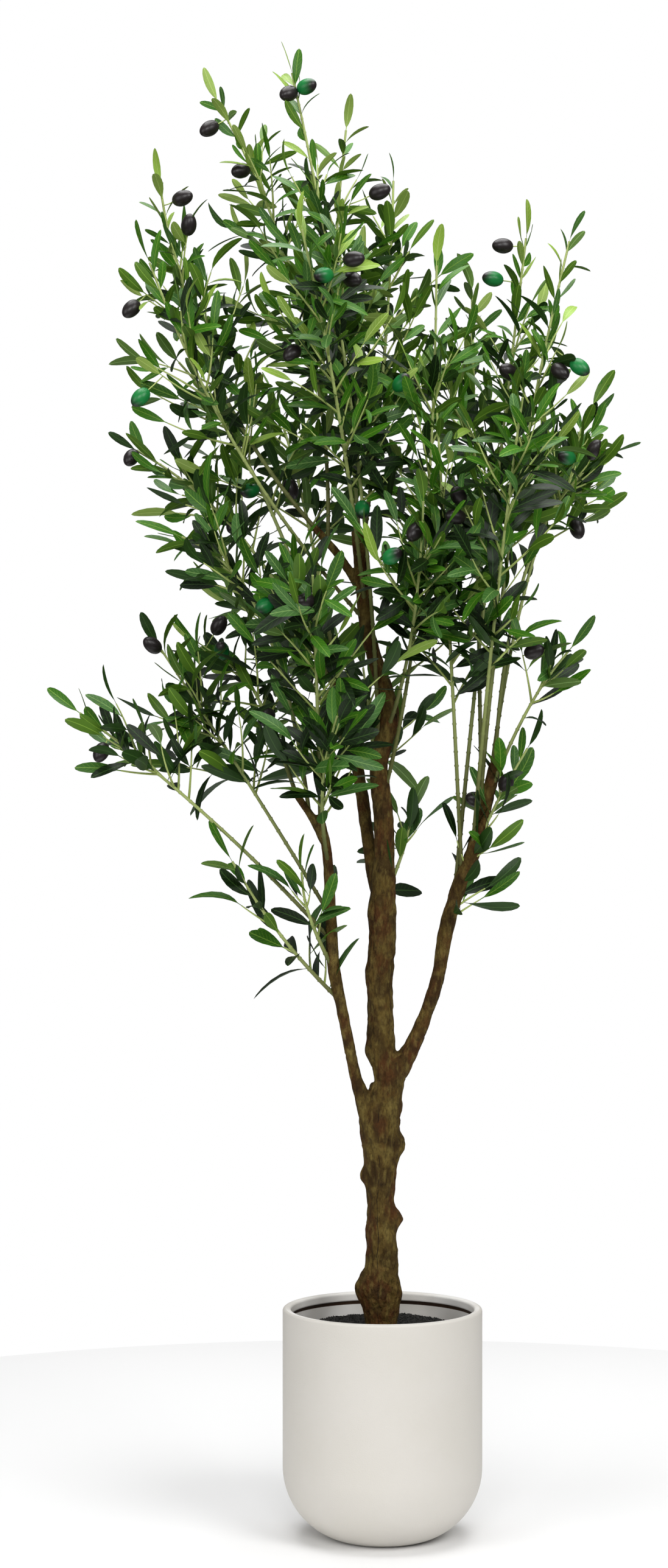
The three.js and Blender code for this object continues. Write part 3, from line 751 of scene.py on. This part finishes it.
class Stem:
    """Bowed line from inside a limb to an end leaf's length short of the spray's tip."""

    def __init__(self, limb, height, tip, bow):
        path = limb_paths[limb]
        self.root = rows_at(height, path[:, 2], path[:, :3])
        reach = np.array(tip, float)
        self.middle = lerp(self.root, reach, BOW_AT) + np.array(bow, float)
        self.end = reach - END_LEAF * unit(reach - self.middle)

    def point(self, share):
        first = lerp(self.root, self.middle, share)
        return lerp(first, lerp(self.middle, self.end, share), share)

    def tangent(self, share):
        return unit(lerp(self.middle - self.root, self.end - self.middle, share))

    def length(self):
        return np.linalg.norm(self.middle - self.root) + np.linalg.norm(self.end - self.middle)


def twigs_of(stem, stretch, count, size, dice):
    """Twigs as root, direction and length: golden-angle turns along a stretch, shorter to the top."""
    grown = []
    for k in range(count):
        share = (k + 0.5 + TWIG_STRAY * (dice() - 0.5)) / count
        turn = k * GOLDEN_ANGLE + dice()
        length = size * TWIG_LENGTH * (1 - TWIG_SHORTENING * share) * (1 + TWIG_STRAY * (dice() - 0.5))
        lift = TWIG_LIFT * dice()
        at = lerp(*stretch, share)
        opening = lerp(*TWIG_OPENINGS, share)
        tangent = stem.tangent(at)
        outward = across_at(tangent, turn)
        direction = unit(tangent * math.cos(opening) + outward * math.sin(opening) + UP * lift)
        grown.append((stem.point(at), direction, length))
    return grown


def twig_path(root, direction, length, dice):
    """Slightly bent twig as rows of x, y, z and radius."""
    sway = across_at(direction, 2 * math.pi * dice()) * TWIG_BEND * length
    share = np.linspace(0, 1, TWIG_STEPS)[:, None]
    line = root + direction * length * share + sway * share * (share - 1)
    return np.hstack([line, lerp(*TWIG_RADII, share)])


def stem_path(stem):
    """Stem as rows of x, y, z and radius, three at each ring joint with the middle one swollen."""
    rings = np.linspace(0, 1, int(stem.length() / RING_EVERY))
    half = RING_HALF / stem.length()
    shares = np.clip(rings[:, None] + (-half, 0, half), 0, 1).ravel()[1:-1]
    radius = lerp(*STEM_RADII, shares)
    radius[RING_ROWS:-1:RING_ROWS] *= RING_SWELL
    rows = np.hstack([np.array([stem.point(s) for s in shares]), radius[:, None]])
    reach = np.append(stem.end + STEM_REACH * stem.tangent(1), STEM_RADII[1])
    return np.vstack([rows, lerp(rows[-1], reach, 0.5), reach])


def seen_from_front(places):
    """Places as seen from the front against the trunk's plane: across, up and how large."""
    scale = 1 - places[..., 1] / CAMERA_PLACE[1]
    across = CAMERA_PLACE[0] + (places[..., 0] - CAMERA_PLACE[0]) / scale
    up = CAMERA_PLACE[2] + (places[..., 2] - CAMERA_PLACE[2]) / scale
    return across, up, scale


def is_open(place):
    """Whether a place is seen from the front in one of the openings."""
    across, up, _ = seen_from_front(place)
    return np.any(np.hypot(OPENINGS[:, 0] - across, OPENINGS[:, 1] - up) < OPENINGS[:, 2])


def trimmed(path):
    """Twig's path, cut back until its end leaf stays clear of the openings."""
    ahead = END_LEAF * unit(path[-1, :3] - path[-2, :3])
    rows = list(path)
    while rows and any(is_open(rows[-1][:3] + ahead * share) for share in END_LEAF_LOOKS):
        rows.pop()
    return np.array(rows)


stem_paths, shoots = [], []
for number, (limb, height, tip, bow, leafy_from, twigs, size, olives) in enumerate(SPRAYS.values()):
    stem = Stem(limb, height, tip, bow)
    stem_paths.append(stem_path(stem))
    stretch = (leafy_from, LEAFY_TO)
    grown = twigs_of(stem, stretch, twigs, size, seeded_dice(number + 1))
    fine_dice = seeded_dice(FINE_SEED + number)
    grown += twigs_of(stem, stretch, round(FINE_TWIGS * twigs * size), FINE_SIZE * size, fine_dice)
    paths = [trimmed(twig_path(*twig, fine_dice)) for twig in grown]
    paths = [path for path in paths if len(path) > TWIG_SHORTEST]
    leafy_rows = stem_paths[-1][int(leafy_from * len(stem_paths[-1])):]
    shoots.append({"stem": leafy_rows, "twigs": paths, "dice": fine_dice, "olives": olives})


def own_map(tree):
    """The two axes of a piece's own map."""
    return axes_of(tree, add_node(tree, "ShaderNodeUVMap", uv_map=BAKE_MAP))


def tube_material(name, at_root, at_tip, roughness):
    """Moulded plastic whose colour changes along a stem or twig."""
    material, tree, shader = new_material(name, roughness, gloss=0.3)
    change = smooth_step(tree, own_map(tree)["Y"], 0, TONE_CHANGE)
    colour_by(shader, mixed(tree, change, colour(at_root), colour(at_tip)))
    return material


def foliage_piece(name, mesh):
    """Puts a mesh of one kind from all the sprays in the scene, in place of the sprays."""
    piece = placed(name, mesh)
    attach(piece, "root")
    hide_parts(*SPRAYS)


stem_plastic = tube_material("stem_plastic", STEM_BROWN, STEM_PALE, roughness=0.55)
stem_lines = path_mesh("stems", stem_paths)
foliage_piece("stems", grown_mesh(stem_lines, tube_tree, Sides=STEM_SIDES, Material=stem_plastic))


# Leaves: thin slips of moulded plastic with a fold along the midrib and pressed veins, set in pairs along
# the twigs on short stalks. They come in a deep, a middle and a fresh green, lighter up the crown and
# towards the twig ends as fresher growth and painted light, and darker low and inside as painted shade. They
# also come in a greyish green that is painted sheen.
LEAF_LENGTH = 62
LEAF_LEAST = 0.75
LEAF_SPREAD = 0.45
END_LEAF_LEAST = 0.8
END_LEAF_SPREAD = 0.3
LEAF_WIDTH = 15.2
WIDTH_LEAST = 0.8
WIDTH_SPREAD = 0.35
WIDTH_BY_LENGTH = 0.6
LEAF_FIRST = 16
LEAF_EVERY = 21
LEAF_SHIFT = 0.3
LEAF_STRAY = 0.5
BEND_REACH = 4
# from the foot of the crown to its top
LEAF_SIZES = (1.2, 0.85)
LEAF_BREADTHS = (1.2, 0.9)
LEAF_SKIPS = (0.26, 0.02)
# from the root of a twig to its tip
LEAF_OPENINGS = (1.1, 0.6)
LEAF_TAPER = (1.05, 0.85)
LEAF_LOOKS = (0.35, 0.7, 1)
LEAF_OUTWARD = 1.1
LEAF_UPWARD = 0.6
LEAF_FORWARD = 0.5
# leaves higher up get lighter tones as painted light, and leaves towards twig ends as fresher growth
LIGHT_BY_HEIGHT = 0.45
LIGHT_BY_TIP = 0.4
LIGHT_BY_CHANCE = 0.6
FRESH_AND_LIT_FROM = 1.1
MIDDLE_FROM = 0.71
SHEEN_SHARE = 0.16
CROWN_LOW = np.array((-477, -345, 790))
CROWN_HIGH = np.array((360, 400, 2132))
CROWN_AXIS = np.array((-45, 25, 0))
LEAF_OUTLINE = [
    # along the leaf and half width
    (0, 0.045), (0.1, 0.05), (0.2, 0.22), (0.34, 0.38),
    (0.52, 0.49), (0.7, 0.49), (0.86, 0.39), (0.96, 0.22),
]
LEAF_THICKNESS = 0.011
LEAF_ASPECT = 0.22
LEAF_EDGE_ANGLE = 60
MAP_EDGE = 0.03
MAP_FILL = 0.94
MIDRIB_FADE = (0.09, 0.03)
MIDRIB_STRENGTH = 0.75
VEIN_COUNT = 10
VEIN_SLANT = 1.7
VEIN_FADE = (0.13, 0.03)
VEIN_STRENGTH = 0.26
TINT_LEAST = 0.78
TINT_SPREAD = 0.45
LEAF_FORMS = [
    # fold, droop, sideways sway and twist
    (0.03, -0.18, 0.3, 0.25), (0.018, 0.12, -0.6, -0.3), (0.04, -0.36, 0.65, 0.5),
    (0.024, -0.1, -0.3, -0.6), (0.034, -0.5, -0.45, 0.4), (0.02, 0.2, 0.5, 0.9),
]
LEAF_TONES = {
    # blade, vein and underside
    # deep green: partly painted shade, for leaves low and inside the crown
    "deep": (0x0E2105, 0x3A5A26, 0x284419),
    "middle": (0x33660E, 0x789E36, 0x507420),
    # greyish green: painted sheen of the plastic
    "greyish": (0x3A6428, 0x80A45A, 0x567632),
    # fresh green: fresher growth, and painted light high in the crown
    "fresh": (0x7E9E38, 0xAAC26A, 0x8CA650),
}


def leaf_mesh(number, fold, droop, sway, twist):
    """Closed leaf of length and width 1 along Y, with its own column of the leaf map."""
    points, maps, faces, sides = [], [], [], []
    for along, half in LEAF_OUTLINE:
        turn = twist * (along - 0.5)
        lift = droop * along ** 2
        drift = sway * along ** 2
        edge = fold * 2 * half
        rib = LEAF_THICKNESS / 2
        for across, height in ((-half, edge), (half, edge), (0, rib), (0, -rib)):
            rise = lift + height + across * math.sin(turn) * LEAF_ASPECT
            points.append((drift + across * math.cos(turn), along, rise))
            maps.append(((number + 0.5 + MAP_FILL * across) / len(LEAF_FORMS), MAP_EDGE + MAP_FILL * along))
    left, right, top, under = range(4)
    tip = len(points)
    points.append((sway, 1, droop))
    maps.append(((number + 0.5) / len(LEAF_FORMS), 1 - MAP_EDGE))
    for k in range(len(LEAF_OUTLINE)):
        low = 4 * k
        ends = [tip] * 4 if low + 4 == tip else range(low + 4, low + 8)
        for first, second, is_top in ((left, top, 1), (top, right, 1), (under, left, 0), (right, under, 0)):
            faces.append((low + first, low + second, ends[second], ends[first]))
            sides.append(is_top)
    faces.append((left, under, right, top))
    sides.append(0)
    mesh = bpy.data.meshes.new(f"leaf_form_{number}")
    mesh.from_pydata(points, [], [tuple(dict.fromkeys(face)) for face in faces])
    bake_map = mesh.uv_layers.new(name=BAKE_MAP)
    for polygon, is_top in zip(mesh.polygons, sides):
        for corner in polygon.loop_indices:
            across, along = maps[mesh.loops[corner].vertex_index]
            bake_map.data[corner].uv = (across, (along + is_top) / 2)
    mesh.shade_smooth()
    mesh.set_sharp_from_angle(angle=math.radians(LEAF_EDGE_ANGLE))
    return mesh


def points_mesh(name, rows):
    """Loose points for the node tree, from rows of place, along, upward, size and form in millimetres."""
    rows = np.array(rows)
    rows[:, :3] *= MM
    rows[:, 9:12] *= MM
    mesh = bpy.data.meshes.new(name)
    mesh.from_pydata(rows[:, :3].tolist(), [], [])
    for label, first in (("along", 3), ("upward", 6), ("size", 9)):
        values = mesh.attributes.new(label, "FLOAT_VECTOR", "POINT")
        values.data.foreach_set("vector", rows[:, first:first + 3].astype(np.float32).ravel())
    form = mesh.attributes.new("form", "INT", "POINT")
    form.data.foreach_set("value", rows[:, 12].astype(np.int32))
    return mesh


# Forms from a collection set on points, each turned and sized as its point says
set_tree, set_in, set_out = geometry_tree("set_on_points", Forms="Collection")
forms = add_node(set_tree, "GeometryNodeCollectionInfo", {
    "Collection": set_in["Forms"],
    "Separate Children": True,
    "Reset Children": True,
})
along, upward, size, form = (
    add_node(set_tree, "GeometryNodeInputNamedAttribute", {"Name": label}, data_type=kind)
    for label, kind in zip(("along", "upward", "size", "form"), ["FLOAT_VECTOR"] * 3 + ["INT"])
)
turning = add_node(
    set_tree, "FunctionNodeAxesToRotation", {0: along, 1: upward}, primary_axis="Y", secondary_axis="Z",
)
instances = add_node(set_tree, "GeometryNodeInstanceOnPoints", {
    "Points": set_in["Geometry"],
    "Instance": forms,
    "Pick Instance": True,
    "Instance Index": form,
    "Rotation": turning,
    "Scale": size,
})
end_tree(set_tree, add_node(set_tree, "GeometryNodeRealizeInstances", {0: instances}), set_in, set_out)


def form_collection(name, meshes):
    """Collection of single forms for the node tree, outside the scene."""
    collection = bpy.data.collections.new(name)
    for mesh in meshes:
        collection.objects.link(bpy.data.objects.new(mesh.name, mesh))
    return collection


leaves = {tone: [] for tone in LEAF_TONES}


def set_leaf(root, along, face, length, dice, tip_share):
    """Adds one leaf to its tone, unless it would leave the crown or fill an opening."""
    height_share = (root[2] - CROWN_LOW[2]) / (CROWN_HIGH[2] - CROWN_LOW[2])
    length *= lerp(*LEAF_SIZES, height_share)
    tip = root + along * length
    is_end = tip_share >= 1
    is_skipped = dice() < lerp(*LEAF_SKIPS, height_share) and not is_end
    if is_skipped or np.any(tip < CROWN_LOW) or np.any(tip > CROWN_HIGH):
        return
    if not is_end and any(is_open(lerp(root, tip, share)) for share in LEAF_LOOKS):
        return
    across = unit(np.cross(along, face))
    # lighter tones up the crown and towards twig ends, darker low and inside: painted light and shade,
    # fresher growth, and chance
    light = LIGHT_BY_HEIGHT * height_share + LIGHT_BY_TIP * tip_share + LIGHT_BY_CHANCE * dice()
    tone = "fresh" if light > FRESH_AND_LIT_FROM else "middle" if light > MIDDLE_FROM else "deep"
    # some leaves at random take the greyish green of painted sheen
    if dice() < SHEEN_SHARE:
        tone = "greyish"
    width = LEAF_WIDTH * lerp(*LEAF_BREADTHS, height_share) * (WIDTH_LEAST + WIDTH_SPREAD * dice())
    width *= (length / LEAF_LENGTH) ** WIDTH_BY_LENGTH
    form = int(len(LEAF_FORMS) * dice()) % len(LEAF_FORMS)
    leaves[tone].append((*root, *along, *np.cross(across, along), width, length, length, form))


def leaf_face(dice, root, direction):
    """Way that a leaf's upper side looks: out of the crown, up and along its twig, with some stray."""
    roll = 2 * math.pi * dice()
    outward = unit((root - CROWN_AXIS) * (1, 1, 0))
    stray = np.array((math.cos(roll), math.sin(roll), LEAF_UPWARD))
    return LEAF_OUTWARD * outward + stray + LEAF_FORWARD * direction


def leaf_shoot(path, dice, turn):
    """Sets pairs of leaves along a path, each pair turned a quarter from the last, and one to end it."""
    line = path[:, :3]
    steps = np.concatenate([[0], np.cumsum(np.linalg.norm(np.diff(line, axis=0), axis=1))])
    length = steps[-1]
    pairs = max(1, int((length - LEAF_FIRST) / LEAF_EVERY))
    for pair in range(pairs):
        at = LEAF_FIRST + (pair + LEAF_SHIFT * dice()) * (length - LEAF_FIRST) / pairs
        root, ahead, behind = (rows_at(at + step, steps, line) for step in (0, BEND_REACH, -BEND_REACH))
        direction = unit(ahead - behind)
        share = at / length
        outward = across_at(direction, turn + pair * math.pi / 2 + LEAF_STRAY * (dice() - 0.5))
        for hand in (-1, 1):
            opening = lerp(*LEAF_OPENINGS, share) + LEAF_STRAY * (dice() - 0.5)
            along = direction * math.cos(opening) + outward * hand * math.sin(opening)
            size = LEAF_LENGTH * (LEAF_LEAST + LEAF_SPREAD * dice()) * lerp(*LEAF_TAPER, share)
            set_leaf(root, along, leaf_face(dice, root, direction), size, dice, share)
    direction = unit(line[-1] - line[-2])
    face = leaf_face(dice, line[-1], direction)
    size = LEAF_LENGTH * (END_LEAF_LEAST + END_LEAF_SPREAD * dice())
    set_leaf(line[-1], direction, face, size, dice, 1)


for number, shoot in enumerate(shoots):
    for k, path in enumerate([shoot["stem"], *shoot["twigs"]]):
        leaf_shoot(path, shoot["dice"], (number + k) * GOLDEN_ANGLE)

# Blade of a leaf on its map: a column of tint for each form, the underside below and the upper side above
blade, blade_in, blade_out = node_tree(
    "Shader",
    "leaf_blade",
    {"Blade": "Color", "Vein": "Color", "Underside": "Color"},
    {"Color": "Color", "Height": "Float"},
)
blade_math = partial(calculated, blade)
leaf_place = own_map(blade)
column_place = blade_math("MULTIPLY", leaf_place["X"], len(LEAF_FORMS))
tint = blade_math("DIVIDE", blade_math("FLOOR", column_place), len(LEAF_FORMS) - 1)
off_midrib = blade_math("SUBTRACT", blade_math("FRACT", column_place), 0.5)
from_midrib = blade_math("MULTIPLY", blade_math("ABSOLUTE", off_midrib), 2)
midrib = smooth_step(blade, from_midrib, *MIDRIB_FADE)
upper_side = blade_math("GREATER_THAN", leaf_place["Y"], 0.5)
along_leaf = blade_math("FRACT", blade_math("MULTIPLY", leaf_place["Y"], 2))
slant = blade_math("MULTIPLY", from_midrib, VEIN_SLANT)
slanted = blade_math("SUBTRACT", blade_math("MULTIPLY", along_leaf, VEIN_COUNT), slant)
from_vein = blade_math("ABSOLUTE", blade_math("SUBTRACT", blade_math("FRACT", slanted), 0.5))
veins = blade_math("MULTIPLY", smooth_step(blade, from_vein, *VEIN_FADE), VEIN_STRENGTH)
rib_mask = blade_math("MAXIMUM", blade_math("MULTIPLY", midrib, MIDRIB_STRENGTH), veins)
blade_tint = add_node(blade, "ShaderNodeHueSaturation", {
    "Color": blade_in["Blade"],
    "Value": blade_math("ADD", TINT_LEAST, blade_math("MULTIPLY", tint, TINT_SPREAD)),
})
upper_colour = mixed(blade, rib_mask, blade_tint, blade_in["Vein"])
under_colour = mixed(blade, midrib, blade_in["Underside"], blade_in["Vein"])
blade.links.new(mixed(blade, upper_side, under_colour, upper_colour), blade_out["Color"])
blade.links.new(rib_mask, blade_out["Height"])

leaf_forms = form_collection("leaf_forms", [leaf_mesh(k, *form) for k, form in enumerate(LEAF_FORMS)])
for tone, (blade_colour, vein_colour, under) in LEAF_TONES.items():
    leaf_plastic, tree, shader = new_material(f"leaf_plastic_{tone}", roughness=0.42, gloss=0.25)
    drawn = add_node(tree, "ShaderNodeGroup", {
        "Blade": colour(blade_colour),
        "Vein": colour(vein_colour),
        "Underside": colour(under),
    }, node_tree=blade).outputs
    colour_by(shader, drawn["Color"])
    bump_by(shader, drawn["Height"], depth=0.3, strength=0.5)
    points = points_mesh(f"leaves_{tone}", leaves[tone])
    foliage_piece(points.name, grown_mesh(points, set_tree, Forms=leaf_forms, Material=leaf_plastic))


# Olives: moulded plastic fruit on thin stalks glued to the twigs. They are painted black with a green base,
# or bottle green with a dark tip, and have a satin finish. The stalks are joined with the twigs.
OLIVE_LENGTH = 32
OLIVE_WIDTH = 22
OLIVE_ROWS = 16
OLIVE_SEGMENTS = 18
OLIVE_FULLNESS = 0.06
OLIVES_SEEN = {
    # across and up, as seen from the front against the trunk's plane
    "black": [
        (-247, 2007), (-202, 1947), (-285, 1908), (-276, 1870), (-41, 1821), (-43, 1792), (-358, 1750),
        (-358, 1538), (171, 1840), (253, 1661), (302, 1549), (179, 1661), (108, 1484), (104, 1454),
        (-328, 1271), (-165, 1168), (216, 1262), (176, 1075), (132, 1051), (-401, 1118), (-233, 1299),
        (-4, 1917), (46, 1432), (-134, 2057), (-129, 1687), (-110, 1334),
    ],
    "green": [
        (-108, 2067), (-84, 1798), (-345, 1624), (-189, 1491), (157, 1793), (281, 1667), (262, 1539),
        (14, 1398), (-168, 1327), (27, 1645), (-29, 1464), (-229, 1263),
    ],
}
OLIVE_BLACK = 0x221C1D
OLIVE_GREEN = 0x187A3A
OLIVE_CHEEKS = {
    # where along the olive its green starts to darken and where it is black
    "black": (0.0, 0.12), "green": (0.7, 1.15),
}
CHEEK_SLANT = 0.3
GREEN_SHARE = 0.35
OLIVE_CLEAR = 12
FRONT_FIRST = 0.12
STALK_RADIUS = 0.9
STALK_LENGTH = 12
STALK_ROWS = 5
STALK_BOW = 3
REAR_FROM = 60

olive_profile = [(0, 0)]
for k in range(1, OLIVE_ROWS):
    turn = math.pi * k / OLIVE_ROWS
    radius = 0.5 * math.sin(turn) * (1 + OLIVE_FULLNESS * math.cos(turn))
    olive_profile.append((radius, (1 - math.cos(turn)) / 2))
olive_profile.append((0, 1))
olive_mesh = lathed_mesh("olive_form", [(r / MM, h / MM) for r, h in olive_profile], OLIVE_SEGMENTS)
olive_mesh.transform(Matrix.Rotation(-math.pi / 2, 4, "X"))
olive_map = olive_mesh.uv_layers.new(name=BAKE_MAP)
for loop in olive_mesh.loops:
    place = olive_mesh.vertices[loop.vertex_index].co
    olive_map.data[loop.index].uv = (abs(math.atan2(place.x, place.z)) / math.pi, place.y)

twig_rows = np.vstack([path for shoot in shoots for path in [shoot["stem"], *shoot["twigs"]]])
seen_across, seen_up, seen_scale = seen_from_front(twig_rows)
olive_rows = {kind: [] for kind in OLIVES_SEEN}
stalk_paths = []


def hang_olive(kind, twig_place, centre):
    """Hangs an olive at a place on a bowed stalk from a twig."""
    axis = unit(centre - twig_place)
    start = centre - axis * OLIVE_LENGTH / 2
    back = cross_axes(axis)[1]
    olive_rows[kind].append((*start, *axis, *back, OLIVE_WIDTH, OLIVE_LENGTH, OLIVE_WIDTH, 0))
    share = np.linspace(0, 1, STALK_ROWS)[:, None]
    line = lerp(twig_place, start + axis, share) + back * STALK_BOW * share * (share - 1)
    stalk_paths.append(np.hstack([line, np.full((STALK_ROWS, 1), STALK_RADIUS)]))


for kind, seen in OLIVES_SEEN.items():
    for across, up in seen:
        distance = np.hypot(seen_across - across, seen_up - up)
        ranking = np.where(distance < OLIVE_CLEAR, np.inf, distance + FRONT_FIRST * twig_rows[:, 1])
        nearest = np.argmin(ranking)
        twig_place = twig_rows[nearest, :3]
        scale = seen_scale[nearest]
        centre = np.array((
            CAMERA_PLACE[0] + (across - CAMERA_PLACE[0]) * scale,
            twig_place[1] - STALK_LENGTH,
            CAMERA_PLACE[2] + (up - CAMERA_PLACE[2]) * scale,
        ))
        hang_olive(kind, twig_place, centre)

for shoot in shoots:
    for path in shoot["twigs"][:shoot["olives"]]:
        twig_place = path[TWIG_SHORTEST, :3]
        if twig_place[1] > REAR_FROM:
            dice = shoot["dice"]
            hang = unit(np.array((dice() - 0.5, dice() - 0.5, -1.0)))
            kind = "green" if dice() < GREEN_SHARE else "black"
            hang_olive(kind, twig_place, twig_place + hang * (OLIVE_LENGTH / 2 + STALK_LENGTH))

olive_forms = form_collection("olive_forms", [olive_mesh])
for kind, (cheek_from, cheek_to) in OLIVE_CHEEKS.items():
    olive_plastic, tree, shader = new_material(f"olive_plastic_{kind}", roughness=0.35, gloss=0.4)
    place = own_map(tree)
    ripe_side = calculated(tree, "MULTIPLY_ADD", place["X"], CHEEK_SLANT, place["Y"])
    ripening = smooth_step(tree, ripe_side, cheek_from, cheek_to)
    colour_by(shader, mixed(tree, ripening, colour(OLIVE_GREEN), colour(OLIVE_BLACK)))
    points = points_mesh(f"olives_{kind}", olive_rows[kind])
    foliage_piece(points.name, grown_mesh(points, set_tree, Forms=olive_forms, Material=olive_plastic))

twig_plastic = tube_material("twig_plastic", TWIG_GREEN, TWIG_FRESH, roughness=0.5)
twig_lines = path_mesh("twigs", [path for shoot in shoots for path in shoot["twigs"]] + stalk_paths)
foliage_piece("twigs", grown_mesh(twig_lines, tube_tree, Sides=TWIG_SIDES, Material=twig_plastic))


# Studio: a plain pale floor, a white room and soft light from the front, the sides and above, with the
# camera level in front of the tree.
FLOOR_RADIUS = 1.5
FLOOR_SEGMENTS = 96
FLOOR_GREY = 0.93
CAMERA_LENS = 68.64
CAMERA_SENSOR = 36
ROOM_LIGHT = 0.16
LIGHTS = {
    # place, point it looks at, size and power
    "key_light": ((2.2, -2.6, 3.0), (0, 0, 1.3), 1.8, 66),
    "front_light": ((-0.2, -3.7, 2.5), (0, 0, 0.6), 1.6, 54),
    "fill_light": ((-2.6, -2.2, 1.8), (0, 0, 1.1), 2.2, 30),
    "top_light": ((0, 0.2, 4.4), (0, 0, 0), 3.2, 165),
}

floor_mesh = bpy.data.meshes.new("floor")
floor_edge = [(*place, 0) for place in arc((0, 0), FLOOR_RADIUS, 0, 360, FLOOR_SEGMENTS)[:-1]]
floor_mesh.from_pydata(floor_edge, [], [range(FLOOR_SEGMENTS)])
pale_floor, _, shader = new_material("pale_floor", roughness=0.9)
shader.inputs["Base Color"].default_value = (FLOOR_GREY, FLOOR_GREY, FLOOR_GREY, 1)
floor_mesh.materials.append(pale_floor)
placed("floor", floor_mesh)

for name, (place, target, size, power) in LIGHTS.items():
    lamp = bpy.data.lights.new(name, "AREA")
    lamp.size = size
    lamp.energy = power
    light = placed(name, lamp)
    light.location = place
    aim = unit(np.subtract(target, place))
    side, back = cross_axes(aim)
    light.rotation_euler = Matrix(np.array([side, -back, -aim]).T.tolist()).to_euler()

room = bpy.data.worlds.new("white_room")
room.use_nodes = True
tree = room.node_tree
backdrop = tree.nodes["Background"]
backdrop.inputs["Color"].default_value = (1, 1, 1, 1)
seen = add_node(tree, "ShaderNodeLightPath").outputs["Is Camera Ray"]
brightness = add_node(tree, "ShaderNodeMapRange", {"Value": seen, "To Min": ROOM_LIGHT, "To Max": 1.0})
tree.links.new(brightness.outputs[0], backdrop.inputs["Strength"])
bpy.context.scene.world = room
bpy.context.scene.view_settings.view_transform = "Standard"

camera_data = bpy.data.cameras.new("camera")
camera_data.sensor_fit = "VERTICAL"
camera_data.sensor_height = CAMERA_SENSOR
camera_data.lens = CAMERA_LENS
camera = placed("camera", camera_data)
camera.location = [value * MM for value in CAMERA_PLACE]
camera.rotation_euler = (math.pi / 2, 0, 0)
bpy.context.scene.camera = camera
